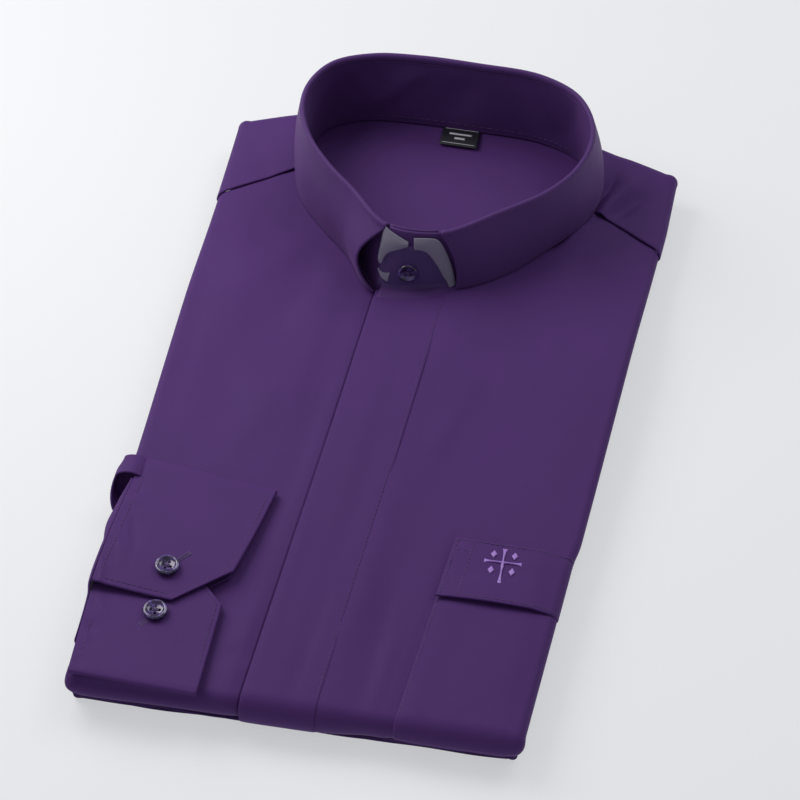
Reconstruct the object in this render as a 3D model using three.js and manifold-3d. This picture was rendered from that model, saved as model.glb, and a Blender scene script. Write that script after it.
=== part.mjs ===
// A long-sleeved clergy shirt with a tab collar, folded as for a shop shelf and lying on its back.
// Units are millimetres. +X is to the wearer's left, +Y runs up the shirt to the collar, and +Z is up.
// The origin lies on the shirt's centreline, in the flat underside that rests on the table.
// Every cloth piece is a closed wall between an outer and an inner grid of points.

import * as THREE from "three";
import Module from "manifold-3d";

const wasm = await Module();
wasm.setup();

// ---------- driving dimensions ----------

const SEAM_GAP = 0.35; // what separate pieces keep between them
const CLOTH = 1.4; // one panel: the cloth with its seam allowances pressed under
const COLLAR_CLOTH = 1.3; // two layers of cloth and an interlining
const TRIM_CLOTH = 1.1; // pocket, flap and sleeve

const WEARER_RIGHT = { bottom: 107.4, top: 108.8 }; // from the centreline out to the right side fold
const WEARER_LEFT = { bottom: 97, top: 109 }; // and to the left one, which is folded further in
const CUFF_SQUEEZE = 4.2; // how far the right side is drawn in beside the cuff
const POCKET_SQUEEZE = 2.2; // and the left side under the pocket and its flap
const BOTTOM_EDGE = -179; // the bottom fold, before it is skewed
const FOLD_SKEW = { drop: 1.5, slope: 0.021, from: 110 }; // it runs down to the right, and all below from
const WIDEST_AT = 140; // above this the sides run straight up
const SHOULDER_PEAK = 188; // the top fold, behind the collar
const SHOULDER_FROM = 45; // it is level this far out, and then slopes down to the corners
const SHOULDER_DROP = { right: 16.2, left: 12.5 }; // how far the top fold slopes down to each shoulder corner
const STACK_HEIGHT = 17.5; // from the table to the top of the front, clear of the collar

const SIDE_ROLL = 3.6; // radius of the cloth where it turns round a side fold
const BOTTOM_ROLL = 7; // round the bottom fold, which wraps the whole stack
const TOP_ROLL = 5; // round the shoulder fold
const BOTTOM_CORNER = 7.2; // radius of the bottom corners, seen from above
const TOP_CORNER = 5.2; // and of the shoulder corners
const FOLD_TURN = 150; // how far the cloth turns round a fold, in degrees

const PLACKET_WIDTH = 33.5;
const PLACKET_EDGE_BOTTOM = -29.5; // x of the placket's free edge, at the bottom fold
const PLACKET_EDGE_TOP = -19.5; // and at the collar
const PLACKET_UNDERLAP = 21; // how far the right front runs on under the placket
const STEP_FADE = 26; // the left front comes down to the common level over this width

const COLLAR_POINT_AT = 66; // y of the placket's top, under the collar's button
const FOLD_HEIGHT_FRONT = 54; // the collar's fold above the table, at the notch
const FOLD_HEIGHT_BACK = 66.5;
const STAND_INSET_FRONT = 3; // the stand's foot inside the leaf's lower edge
const STAND_INSET_BACK = 7.5;
const LEAF_RETURN = 5; // how far the leaf turns down inside the fold
const STAND_OVERLAP = 0.056; // share of the neckline by which the stand's ends lap

const POCKET_EDGE_TOP = 45.5; // x of the pocket's inner edge, at the flap's seam
const POCKET_EDGE_BOTTOM = 38; // and at the bottom fold
const FLAP_TOP = -71;
const FLAP_DEPTH = 36;

const CUFF_HALF_ROUND = 122; // half the cuff's round, pressed flat
const CUFF_LIFT = 2.6; // how far the lapping end stands off at the sleeve seam

const BUTTON_RADIUS = 5.6;
const BUTTON_THICK = 2.4;
const NECK_BUTTON_SCALE = 0.84;
const BUTTON_HOLE = 0.8;
const BUTTON_HOLE_PITCH = 1.35;

const LABEL = { width: 18.5, length: 12.5, thick: 0.6 };

// ---------- small helpers ----------

const radians = THREE.MathUtils.degToRad;
const mix = THREE.MathUtils.lerp;
const clamp = THREE.MathUtils.clamp;
const smooth = (value, from, to) => THREE.MathUtils.smoothstep(value, from, to);
const steps = (count, from = 0, to = 1) =>
  Array.from({ length: count + 1 }, (_, i) => mix(from, to, i / count));

// The signed volume under an indexed triangle list.
function signedVolume(points, triangles) {
  let sum = 0;
  for (const [a, b, c] of triangles)
    sum += points[a].dot(new THREE.Vector3().crossVectors(points[b], points[c])) / 6;
  return sum;
}

// A closed geometry from points and triangles, with its faces turned outwards.
function closedGeometry(points, triangles) {
  const faces =
    signedVolume(points, triangles) < 0 ? triangles.map(([a, b, c]) => [a, c, b]) : triangles;
  const geometry = new THREE.BufferGeometry().setFromPoints(points);
  geometry.setIndex(faces.flat());
  geometry.computeVertexNormals();
  return geometry;
}

// A wall of cloth between two grids of points, outer[row][column] and inner[row][column].
function wall(outer, inner) {
  const rows = outer.length;
  const columns = outer[0].length;
  const points = [...outer.flat(), ...inner.flat()];
  const triangles = [];
  const quad = (a, b, c, d) => triangles.push([a, b, c], [a, c, d]);
  const out = (i, j) => i * columns + j;
  const back = (i, j) => rows * columns + out(i, j);
  for (let i = 0; i < rows - 1; i++)
    for (let j = 0; j < columns - 1; j++) {
      quad(out(i, j), out(i, j + 1), out(i + 1, j + 1), out(i + 1, j));
      quad(back(i, j), back(i + 1, j), back(i + 1, j + 1), back(i, j + 1));
    }
  for (let j = 0; j < columns - 1; j++) {
    quad(out(0, j + 1), out(0, j), back(0, j), back(0, j + 1));
    quad(out(rows - 1, j), out(rows - 1, j + 1), back(rows - 1, j + 1), back(rows - 1, j));
  }
  for (let i = 0; i < rows - 1; i++) {
    quad(out(i, 0), out(i + 1, 0), back(i + 1, 0), back(i, 0));
    quad(out(i + 1, columns - 1), out(i, columns - 1), back(i, columns - 1), back(i + 1, columns - 1));
  }
  return closedGeometry(points, triangles);
}

// A solid through a stack of closed rings, each ring an array of points, closed by its first and last.
function ringStack(rings, firstCentre, lastCentre) {
  const count = rings[0].length;
  const points = [...rings.flat(), firstCentre, lastCentre];
  const triangles = [];
  for (let k = 0; k < rings.length - 1; k++)
    for (let i = 0; i < count; i++) {
      const next = (i + 1) % count;
      const [a, b] = [k * count + i, k * count + next];
      triangles.push([a, b, b + count], [a, b + count, a + count]);
    }
  const first = rings.length * count;
  const top = (rings.length - 1) * count;
  for (let i = 0; i < count; i++) {
    const next = (i + 1) % count;
    triangles.push([first, next, i], [first + 1, top + i, top + next]);
  }
  return closedGeometry(points, triangles);
}

// ---------- the form of the folded shirt ----------

const shareUp = (y, from, to) => clamp((y - from) / (to - from), 0, 1);
function sideEdge(sign, y) {
  const side = sign < 0 ? WEARER_RIGHT : WEARER_LEFT;
  const cuffSqueeze = CUFF_SQUEEZE * smooth(y, -171, -150) * (1 - smooth(y, -105, -55));
  const squeeze = sign < 0 ? cuffSqueeze : POCKET_SQUEEZE * (1 - smooth(y, -82, -60));
  return mix(side.bottom, side.top, shareUp(y, BOTTOM_EDGE, WIDEST_AT)) - squeeze;
}
function topEdge(x) {
  const drop = x < 0 ? SHOULDER_DROP.right : SHOULDER_DROP.left;
  return SHOULDER_PEAK - drop * shareUp(Math.abs(x), SHOULDER_FROM, WEARER_LEFT.top) ** 0.8;
}
const skewed = (x, y) =>
  y - (FOLD_SKEW.drop - FOLD_SKEW.slope * x) * smooth(-y, FOLD_SKEW.from, -BOTTOM_EDGE);
const cornerRadius = (y) => mix(BOTTOM_CORNER, TOP_CORNER, shareUp(y, -90, 90));

const CHEST_RISE = 3.5; // the front comes up towards the collar
const NECK_RISE = 6; // and the yoke further, to the back of the neck
const SHOULDER_FALL = 8.5; // the shoulders come down to their corners

function topHeight(x, y) {
  const chest = CHEST_RISE * smooth(y, -60, 70);
  const neck = NECK_RISE * smooth(y, 90, 182);
  const shoulder = SHOULDER_FALL * (Math.abs(x) / WEARER_LEFT.top) ** 3 * smooth(y, 50, 165);
  return STACK_HEIGHT + chest + neck - shoulder;
}

// The centre of a corner's rounding. The sides are measured out from its x, and the ends from its y.
const BOTTOM_CENTRE = BOTTOM_EDGE + BOTTOM_CORNER;
const cornerX = (sign, y) => sideEdge(sign, y) - cornerRadius(y);
const endCentre = (sign, x, y) => {
  if (y < 0) return -BOTTOM_CENTRE;
  const reach = cornerX(sign, SHOULDER_PEAK);
  return topEdge(clamp(x, -reach, reach)) - TOP_CORNER;
};
const endRoll = (y) => (y > 0 ? TOP_ROLL : BOTTOM_ROLL);
const turnLimit = radians(FOLD_TURN);
const flatPart = (y, roll) => cornerRadius(y) - roll;
const clothLength = (y, roll) => flatPart(y, roll) + roll * turnLimit;

// Where the cloth is after running a length out from the corner's centre, over a fold of a given roll.
function overFold(length, flat, roll) {
  if (length <= flat) return { out: length, drop: 0, turn: 0 };
  const turn = (length - flat) / roll;
  return { out: flat + roll * Math.sin(turn), drop: roll * (1 - Math.cos(turn)), turn };
}

// The point of the outer skin at a place on the flat cloth. across and along are measured on the cloth from
// the centreline and the origin, and run on round the folds. lift moves the point out, square to the cloth.
function skin(across, along, lift = 0) {
  const sign = Math.sign(across) || 1;
  const endSign = along > 0 ? 1 : -1;
  const end = endCentre(sign, across, along);
  const v = Math.abs(along) - end;
  const side = cornerX(sign, v > 0 ? end * endSign : along);
  const u = Math.abs(across) - side;
  const roll = endRoll(along);
  let [x, y] = [across, along];
  let fold = { out: 0, drop: 0, turn: 0 };
  let [outX, outY] = [0, 0];
  if (u > 0 && v > 0) {
    const a = u / clothLength(along, SIDE_ROLL);
    const b = v / clothLength(along, roll);
    const discX = a * Math.sqrt(Math.max(0, 1 - (b * b) / 2));
    const discY = b * Math.sqrt(Math.max(0, 1 - (a * a) / 2));
    const share = Math.hypot(discX, discY);
    const blend = Math.atan2(discY, discX) / (Math.PI / 2);
    const cornerRoll = mix(SIDE_ROLL, roll, blend);
    fold = overFold(share * clothLength(along, cornerRoll), flatPart(along, cornerRoll), cornerRoll);
    [outX, outY] = [(sign * discX) / share, (endSign * discY) / share];
    [x, y] = [sign * side + outX * fold.out, endSign * end + outY * fold.out];
  } else if (u > 0) {
    fold = overFold(u, flatPart(along, SIDE_ROLL), SIDE_ROLL);
    outX = sign;
    x = sign * (side + fold.out);
  } else if (v > 0) {
    fold = overFold(v, flatPart(along, roll), roll);
    outY = endSign;
    y = endSign * (end + fold.out);
  }
  const spread = lift * Math.sin(fold.turn);
  const height = topHeight(x, y) - fold.drop + lift * Math.cos(fold.turn);
  const liftedX = x + outX * spread;
  return new THREE.Vector3(liftedX, skewed(liftedX, y + outY * spread), height);
}

// A place on the cloth for a share of the way round a side fold, from 0 on the flat. sign is -1 or 1.
function sidePlace(sign, y, share) {
  const flat = flatPart(y, SIDE_ROLL);
  return sign * (cornerX(sign, y) + mix(flat, clothLength(y, SIDE_ROLL), share));
}
// Places on the cloth round the bottom fold, from its hidden edge up to the flat front.
const bottomFlat = flatPart(BOTTOM_EDGE, BOTTOM_ROLL);
const bottomLength = clothLength(BOTTOM_EDGE, BOTTOM_ROLL);
const bottomRoll = [1, 0.84, 0.67, 0.5, 0.33, 0.16, 0].map(
  (share) => BOTTOM_CENTRE - mix(bottomFlat, bottomLength, share),
);
// The y seen from above of a place on the cloth.
const seenY = (y) => Math.max(y, BOTTOM_CENTRE);

// ---------- the collar's lines ----------

// Places round the neck, from the notch on the wearer's right, round the back, to the notch on the left.
// The fold is the collar's top edge, and the foot is the leaf's lower edge.
const COLLAR_PLACES = [
  { foldX: -17, foldY: 79, footX: -20, footY: 66 },
  { foldX: -38, foldY: 97.5, footX: -37, footY: 87 },
  { foldX: -53, foldY: 110.5, footX: -54, footY: 104 },
  { foldX: -65, foldY: 125, footX: -67, footY: 120 },
  { foldX: -72, foldY: 143, footX: -74.5, footY: 140 },
  { foldX: -71.3, foldY: 159, footX: -76, footY: 158 },
  { foldX: -62.5, foldY: 173.8, footX: -68, footY: 175 },
  { foldX: -44, foldY: 182.3, footX: -48, footY: 185 },
  { foldX: -20, foldY: 185, footX: -22, footY: 187.5 },
  { foldX: 8, foldY: 185, footX: 10, footY: 187.5 },
  { foldX: 39, foldY: 183.6, footX: 42, footY: 186 },
  { foldX: 59.3, foldY: 174.3, footX: 65, footY: 177 },
  { foldX: 69.7, foldY: 158, footX: 75, footY: 160 },
  { foldX: 71.5, foldY: 143, footX: 75.5, footY: 145 },
  { foldX: 66.5, foldY: 126, footX: 70, footY: 129 },
  { foldX: 55.5, foldY: 111.5, footX: 57, footY: 111 },
  { foldX: 35.5, foldY: 96, footX: 39, footY: 89.5 },
  { foldX: 10, foldY: 79, footX: 18, footY: 74.5 },
];
const closingCurve = (list) =>
  new THREE.CatmullRomCurve3(
    list.map(([x, y]) => new THREE.Vector3(x, y, 0)),
    true,
    "centripetal",
  );
const foldCurve = closingCurve(COLLAR_PLACES.map((p) => [p.foldX, p.foldY]));
const footCurve = closingCurve(COLLAR_PLACES.map((p) => [p.footX, p.footY]));
// round is 0 at the right notch and 1 at the left notch, and the stand closes the ring between them.
const RING_SHARE = (COLLAR_PLACES.length - 1) / COLLAR_PLACES.length;
const onRing = (curve, round) => curve.getPoint((((round * RING_SHARE) % 1) + 1) % 1);
const outwardAt = (curve, round) => {
  const ahead = onRing(curve, round + 0.004);
  const behind = onRing(curve, round - 0.004);
  const along = ahead.sub(behind).normalize();
  return new THREE.Vector3(-along.y, along.x, 0);
};
const backness = (round) => Math.sin(Math.PI * clamp(round, 0, 1));
const foldHeight = (round) => mix(FOLD_HEIGHT_FRONT, FOLD_HEIGHT_BACK, backness(round));

// The height of the skin over a point seen from above, on the shoulder fold too.
function skinHeight(x, y) {
  const over = Math.max(0, y - (topEdge(x) - TOP_ROLL));
  const drop = TOP_ROLL - Math.sqrt(Math.max(0, TOP_ROLL ** 2 - over ** 2));
  return topHeight(x, y) - drop;
}
const LINING_LIFT = -CLOTH - SEAM_GAP; // the yoke lining lies just under the fronts' neckline

// The leaf turns down inside the fold by this much, and less at its ends.
const leafReturn = (round) => LEAF_RETURN * clamp(0.25 + Math.min(round, 1 - round) / 0.04, 0.25, 1);

// The stand's outer face: its foot on the lining, and its top under the leaf's return.
function standFoot(round, out = 0) {
  const inset = mix(STAND_INSET_FRONT, STAND_INSET_BACK, backness(round) ** 2);
  const point = onRing(footCurve, round).addScaledVector(outwardAt(footCurve, round), out - inset);
  point.z = skinHeight(point.x, point.y) + LINING_LIFT + SEAM_GAP + 0.1;
  return point;
}
function foldPoint(round, out = 0) {
  const point = onRing(foldCurve, round).addScaledVector(
    outwardAt(foldCurve, round),
    out - COLLAR_CLOTH - SEAM_GAP,
  );
  point.z = foldHeight(round);
  return point;
}
function leafFoot(round, out = 0) {
  const point = onRing(footCurve, round).addScaledVector(outwardAt(footCurve, round), out);
  const raised = round > 0.5 ? frontLift(point.x, point.y) : 0;
  point.z = skinHeight(point.x, Math.min(point.y, topEdge(point.x) - 0.6)) + raised + 0.9;
  return point;
}

// The neckline that the fronts and the yoke are cut to, just outside the stand.
const neckPoint = (round) => {
  const point = standFoot(round, SEAM_GAP + 0.3);
  return { x: point.x, y: point.y };
};
// The front neckline, from the wearer's left round by the notch to the right.
// The ring closes at 1 / RING_SHARE.
const FRONT_REACH = 0.27;
const NECK_SAMPLES = steps(240, 1 - FRONT_REACH, 1 / RING_SHARE + FRONT_REACH).map(neckPoint);
function neckline(x) {
  const passed = NECK_SAMPLES.findIndex((p, i) => p.x >= x && NECK_SAMPLES[i + 1]?.x < x);
  if (passed < 0) return (x > 0 ? NECK_SAMPLES[0] : NECK_SAMPLES.at(-1)).y;
  const [a, b] = [NECK_SAMPLES[passed], NECK_SAMPLES[passed + 1]];
  return mix(a.y, b.y, (x - a.x) / (b.x - a.x));
}

// ---------- yoke seam ----------

// edge is the y of the yoke seam at the side fold, and meets the share of the neckline, from the notch on its
// side, at which it meets it.
const YOKE_SEAM = { right: { edge: 120.5, meets: 0.237 }, left: { edge: 123.5, meets: 0.215 } };
const seamOn = (x) => (x < 0 ? YOKE_SEAM.right : YOKE_SEAM.left);
const rightMeeting = neckPoint(YOKE_SEAM.right.meets);
const leftMeeting = neckPoint(1 - YOKE_SEAM.left.meets);
const yokeSeam = (x) => {
  const meeting = x < 0 ? rightMeeting : leftMeeting;
  const share = (Math.abs(x) - Math.abs(meeting.x)) / (WEARER_LEFT.top - Math.abs(meeting.x));
  return mix(meeting.y, seamOn(x).edge, clamp(share, 0, 1));
};

// ---------- front panels ----------

const placketEdge = (y) =>
  mix(PLACKET_EDGE_BOTTOM, PLACKET_EDGE_TOP, shareUp(y, BOTTOM_EDGE, COLLAR_POINT_AT));

// How far a front stands above the common skin beside the placket.
const frontLift = (across, along) => {
  const seam = placketEdge(along) + PLACKET_WIDTH;
  return (CLOTH + SEAM_GAP) * (1 - smooth(across, seam + 2, seam + STEP_FADE));
};

const FLAT_ROWS = [-170, -163, -157, -148, -120, -100, -80, -60, -25, 15, 45];
const SIDE_SHARES = [1, 0.8, 0.6, 0.4, 0.2, 0];

// One front, from its side fold to the placket. Columns run across and rows run up the shirt.
function frontPanel(sign) {
  const meeting = sign < 0 ? rightMeeting : leftMeeting;
  const outerX = meeting.x * 0.995;
  const placketSide = (y) => placketEdge(y) + (sign < 0 ? PLACKET_UNDERLAP : PLACKET_WIDTH + SEAM_GAP);
  const neckEnd = placketSide(COLLAR_POINT_AT);
  const columns = [
    ...SIDE_SHARES.map((side) => ({ side })),
    { side: 0, inward: 0.45 },
    { side: 0, inward: 1 },
    ...steps(18).slice(1).map((span) => ({ span: span ** 1.4 })),
  ];
  const place = (column, y) => {
    if (column.span !== undefined) return mix(outerX, placketSide(y), column.span);
    const edge = sidePlace(sign, y, column.side);
    return column.inward ? mix(edge, outerX, column.inward) : edge;
  };
  const raised = (x, y) => (sign > 0 ? frontLift(x, Math.min(y, COLLAR_POINT_AT)) : 0);
  const upperPlace = (column, share) => {
    const foot = FLAT_ROWS.at(-1);
    if (column.span === undefined) {
      const x = place(column, seamOn(sign).edge);
      return [mix(place(column, foot), x, share), mix(foot, yokeSeam(x) - SEAM_GAP, share)];
    }
    const x = mix(outerX, neckEnd, column.span);
    return [mix(place(column, foot), x, share), mix(foot, neckline(x), share)];
  };
  const places = [
    ...[...bottomRoll, ...FLAT_ROWS].map((y) => columns.map((column) => [place(column, seenY(y)), y])),
    ...[0.25, 0.5, 0.75, 1].map((share) => columns.map((column) => upperPlace(column, share))),
  ];
  const face = (lift) => places.map((row) => row.map(([x, y]) => skin(x, y, lift + raised(x, y))));
  return wall(face(0), face(-CLOTH));
}

const PLACKET_COLUMNS = [0, 0.03, 0.25, 0.5, 0.75, 1];
// The fly placket: a folded strip on top of the right front, sewn down along the left front.
function placketPanel() {
  const top = placketEdge(COLLAR_POINT_AT);
  const neckAt = (share) => neckline(top + PLACKET_WIDTH * share);
  const face = (lift) => {
    const rows = [...bottomRoll, ...FLAT_ROWS].map((y) =>
      PLACKET_COLUMNS.map((share) => skin(placketEdge(seenY(y)) + PLACKET_WIDTH * share, y, lift)),
    );
    for (const up of [0.4, 0.8, 1])
      rows.push(
        PLACKET_COLUMNS.map((share) => {
          const y = mix(FLAT_ROWS.at(-1), neckAt(share), up);
          return skin(placketEdge(y) + PLACKET_WIDTH * share, y, lift);
        }),
      );
    return rows;
  };
  return wall(face(CLOTH + SEAM_GAP), face(SEAM_GAP));
}

// ---------- yoke ----------

// The yoke runs from one yoke seam round the back of the neck to the other, and turns over the shoulder fold.
// Each column runs out from the neckline, over a side fold (u), a corner (u and v) or the top fold (v).
function yokePanel() {
  const sideColumns = (sign) => {
    const corner = endCentre(sign, sign * WEARER_LEFT.top, 1);
    const seam = seamOn(sign).edge + SEAM_GAP;
    return [
      ...steps(4).map((s) => ({ around: 0.08 * s, sign, u: 1, v: 0, y: mix(seam, corner, s) })),
      { around: 0.09, sign, u: 1, v: 0.5 },
      { around: 0.1, sign, u: 1, v: 1 },
      { around: 0.11, sign, u: 0.5, v: 1 },
    ];
  };
  const reach = cornerX(1, SHOULDER_PEAK);
  const from = YOKE_SEAM.right.meets;
  const to = 1 - YOKE_SEAM.left.meets;
  const rightSide = sideColumns(-1).map((c) => ({ ...c, round: from + 0.002 + c.around }));
  const leftSide = sideColumns(1).map((c) => ({ ...c, round: to - 0.002 - c.around }));
  const back = steps(14, -1, 1).map((s) => ({
    round: mix(from + 0.125, to - 0.125, (s + 1) / 2),
    u: 0,
    v: 1,
    x: reach * Math.sign(s) * Math.abs(s) ** 0.8,
  }));
  const columns = [...rightSide, ...back, ...leftSide.reverse()];
  const foldPlace = (column, share) => {
    const length = (roll) =>
      mix(flatPart(SHOULDER_PEAK, roll), clothLength(SHOULDER_PEAK, roll), share);
    const sign = column.sign ?? (Math.sign(column.x) || 1);
    const centre = cornerX(sign, column.y ?? SHOULDER_PEAK);
    const across = column.x ?? sign * (centre + column.u * length(SIDE_ROLL));
    const along = column.y ?? endCentre(sign, across, 1) + column.v * length(TOP_ROLL);
    return [across, along];
  };
  const face = (lift) =>
    columns.map((column) => {
      const atSeam = column === columns[0] || column === columns.at(-1);
      const neck = neckPoint(column.round);
      const [flatX, flatY] = foldPlace(column, 0);
      const places = [0, 0.33, 0.66].map((share) => [mix(neck.x, flatX, share), mix(neck.y, flatY, share)]);
      for (const share of [0, 0.2, 0.4, 0.6, 0.8, 1]) places.push(foldPlace(column, share));
      return places.map(([x, y]) => skin(x, atSeam ? yokeSeam(x) + SEAM_GAP : y, lift));
    });
  return wall(face(0), face(-CLOTH));
}

// The yoke's lining, which shows inside the collar.
function yokeLining() {
  const centre = { x: 0, y: 128 };
  const around = steps(35, 0, 35 / 36);
  const rings = [0.12, 0.45, 0.78, 1];
  const ringAt = (share, lift) =>
    around.map((round) => {
      const rim = standFoot(round / RING_SHARE, 2.2);
      const x = mix(centre.x, rim.x, share);
      const y = mix(centre.y, rim.y, share);
      return new THREE.Vector3(x, y, skinHeight(x, y) + lift);
    });
  const upper = rings.map((share) => ringAt(share, LINING_LIFT));
  const lower = rings.map((share) => ringAt(share, LINING_LIFT - COLLAR_CLOTH));
  const middle = (lift) => new THREE.Vector3(centre.x, centre.y, skinHeight(centre.x, centre.y) + lift);
  return ringStack(
    [...lower, ...upper.slice().reverse()],
    middle(LINING_LIFT - COLLAR_CLOTH),
    middle(LINING_LIFT),
  );
}

// ---------- collar ----------

// The leaf's ends are cut in a curve, so the notch is widest in its lower half.
const NOTCH_HOLLOW_RIGHT = 0.017; // shares of the neckline
const NOTCH_HOLLOW_LEFT = 0.006;
const NOTCH_FLARE = 5.2; // the leaf's right end stands off the stand
const leafRound = (round, height) => {
  const hollow = Math.sin(Math.PI * height) ** 0.8;
  return mix(NOTCH_HOLLOW_RIGHT * hollow, 1 - NOTCH_HOLLOW_LEFT * hollow, round);
};

const COLLAR_ROUNDS = [0, 0.02, 0.05, ...steps(27, 0.09, 0.91), 0.95, 0.98, 1];

function collarLeaf() {
  const heights = [1, 0.8, 0.6, 0.4, 0.2, 0];
  const line = (round, inner) => {
    const outFace = inner ? SEAM_GAP : SEAM_GAP + COLLAR_CLOTH;
    const inFace = inner ? 0 : -COLLAR_CLOTH;
    const rise = inner ? -0.2 : COLLAR_CLOTH - 0.2;
    const at = (out, up) => foldPoint(round, out).setZ(foldHeight(round) + up);
    const points = [
      at(inFace, -leafReturn(round)),
      at(inFace, -0.9 + rise * 0.3),
      at(mix(inFace, outFace, 0.5), rise),
    ];
    for (const height of heights) {
      const place = leafRound(round, height);
      const top = foldPoint(place, outFace);
      top.z -= 1.2 - rise * 0.3;
      const bottom = leafFoot(place, inner ? -COLLAR_CLOTH : 0);
      const flare = NOTCH_FLARE * Math.exp(-round / 0.05) * Math.sin(Math.PI * height);
      const bulge = 1.2 * Math.sin(Math.PI * height);
      const point = bottom.lerp(top, height);
      points.push(point.addScaledVector(outwardAt(footCurve, place), flare + bulge));
    }
    return points;
  };
  return wall(
    COLLAR_ROUNDS.map((round) => line(round, false)),
    COLLAR_ROUNDS.map((round) => line(round, true)),
  );
}

// The stand: a band whose ends lap and button at the front. Its right end lies inside.
function collarStand() {
  const start = -STAND_OVERLAP;
  const end = 1.055;
  const clear = 0.004;
  const places = [...steps(4, start, -clear), ...COLLAR_ROUNDS, ...steps(4, 1 + clear, end)];
  const heights = [0, 0.35, 0.7, 1];
  const face = (inner) =>
    places.map((round) => {
      const under = 1 - smooth(round, 0.0, 0.07);
      const out = (inner ? -COLLAR_CLOTH : 0) - under * (COLLAR_CLOTH + SEAM_GAP);
      const underLeaf = round > -clear / 2 && round < 1 + clear / 2 ? 1 : 0;
      const foot = standFoot(round, out);
      const top = foldPoint(round, out);
      top.z -= underLeaf * (leafReturn(round) + SEAM_GAP);
      return heights.map((height) => foot.clone().lerp(top, height));
    });
  return wall(face(false), face(true));
}

// A point on the stand's front face. across runs from -1 at the right notch to 1 at the left notch.
function frontOfStand(across, height, out) {
  const round = mix(1, 1 / RING_SHARE, (1 - across) / 2);
  return standFoot(round, out).lerp(foldPoint(round, out), height);
}

// The clear insert that holds the collar's front in shape: an arch round the button. Its half outline runs
// from the foot to the crown. across is a share of the notch's half width, and up of the stand's height.
const INSERT_THICK = 0.8;
const INSERT_HALF = [
  { inner: { across: 0.8, up: 0.14 }, outer: { across: 0.97, up: 0.14 } },
  { inner: { across: 0.7, up: 0.32 }, outer: { across: 0.97, up: 0.4 } },
  { inner: { across: 0.54, up: 0.5 }, outer: { across: 0.93, up: 0.64 } },
  { inner: { across: 0.34, up: 0.63 }, outer: { across: 0.78, up: 0.84 } },
  { inner: { across: 0.16, up: 0.7 }, outer: { across: 0.42, up: 0.94 } },
];
const INSERT_CROWN = { inner: { across: 0, up: 0.72 }, outer: { across: 0, up: 0.95 } };
function collarInsert() {
  const rows = [
    ...INSERT_HALF.map((row) => ({ ...row, sign: -1 })),
    { ...INSERT_CROWN, sign: 1 },
    ...INSERT_HALF.toReversed().map((row) => ({ ...row, sign: 1 })),
  ];
  const face = (out) =>
    rows.map(({ inner, outer, sign }) =>
      [1, 0.5, 0].map((share) => {
        const across = sign * mix(inner.across, outer.across, share);
        return frontOfStand(across, mix(inner.up, outer.up, share), out);
      }),
    );
  return wall(face(SEAM_GAP + INSERT_THICK), face(SEAM_GAP));
}

function neckLabel() {
  const face = (lift) =>
    steps(3, 0, 1).map((down) =>
      [-0.5, 0, 0.5].map((side) => {
        const x = 1.5 + side * LABEL.width;
        const y = standFoot(0.5).y - COLLAR_CLOTH - 0.8 - down * LABEL.length;
        return new THREE.Vector3(x, y, skinHeight(x, y) + LINING_LIFT + SEAM_GAP + lift + 0.6 * down);
      }),
    );
  return wall(face(LABEL.thick), face(0));
}

// ---------- pocket and flap ----------

const pocketEdge = (y) =>
  mix(POCKET_EDGE_BOTTOM, POCKET_EDGE_TOP, shareUp(y, BOTTOM_EDGE, FLAP_TOP));
const POCKET_COLUMNS = [0, 0.25, 0.5, 0.75];
const POCKET_SIDE_SHARES = [0, 0.2, 0.4, 0.6];

function patch(rows, lift, thick, standOff) {
  const face = (level) =>
    rows.map((y) => {
      const seen = seenY(y);
      const start = pocketEdge(seen);
      const side = sidePlace(1, seen, 0);
      const columns = [
        ...POCKET_COLUMNS.map((share) => mix(start, side, share)),
        ...POCKET_SIDE_SHARES.map((share) => sidePlace(1, seen, share)),
      ];
      return columns.map((x, i) => skin(x, y, level + standOff(i, y)));
    });
  return wall(face(lift + thick), face(lift));
}
const pocketRows = [...bottomRoll.slice(1), ...FLAT_ROWS.slice(0, 6), -92, FLAP_TOP - 4];
const chestPocket = () => patch(pocketRows, SEAM_GAP, TRIM_CLOTH, () => 0);
// The flap's lower edge lifts a little along its middle.
const FLAP_LIFT = 1.5;
const flapRows = steps(5, FLAP_TOP - FLAP_DEPTH, FLAP_TOP);
const flapStandOff = (i, y) => {
  const alongFlap = Math.sin((Math.PI * Math.min(i, 6)) / 6);
  return FLAP_LIFT * alongFlap * (1 - smooth(y, flapRows[0], flapRows[3]));
};
const pocketFlap = () => patch(flapRows, 2 * SEAM_GAP + TRIM_CLOTH, TRIM_CLOTH, flapStandOff);

// ---------- cuff and sleeve ----------

// The cuff's four corners, seen from above, and the bulge of its seam towards the sleeve.
const CUFF_CORNERS = {
  seamBottom: new THREE.Vector2(-105.3, -180.5),
  edgeBottom: new THREE.Vector2(-47.6, -182),
  edgeTop: new THREE.Vector2(-38.4, -61.5),
  seamTop: new THREE.Vector2(-102.6, -53.8),
};
const SEAM_BULGE = 2.6;
function cuffPlan(inFromEdge, along) {
  const t = along / CUFF_HALF_ROUND;
  const seam = CUFF_CORNERS.seamBottom.clone().lerp(CUFF_CORNERS.seamTop, t);
  seam.x -= SEAM_BULGE * Math.sin(Math.PI * clamp(t, 0, 1));
  const edge = CUFF_CORNERS.edgeBottom.clone().lerp(CUFF_CORNERS.edgeTop, t);
  const width = edge.distanceTo(seam);
  return (share) => seam.clone().lerp(edge, share * (1 - inFromEdge / width));
}

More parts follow.
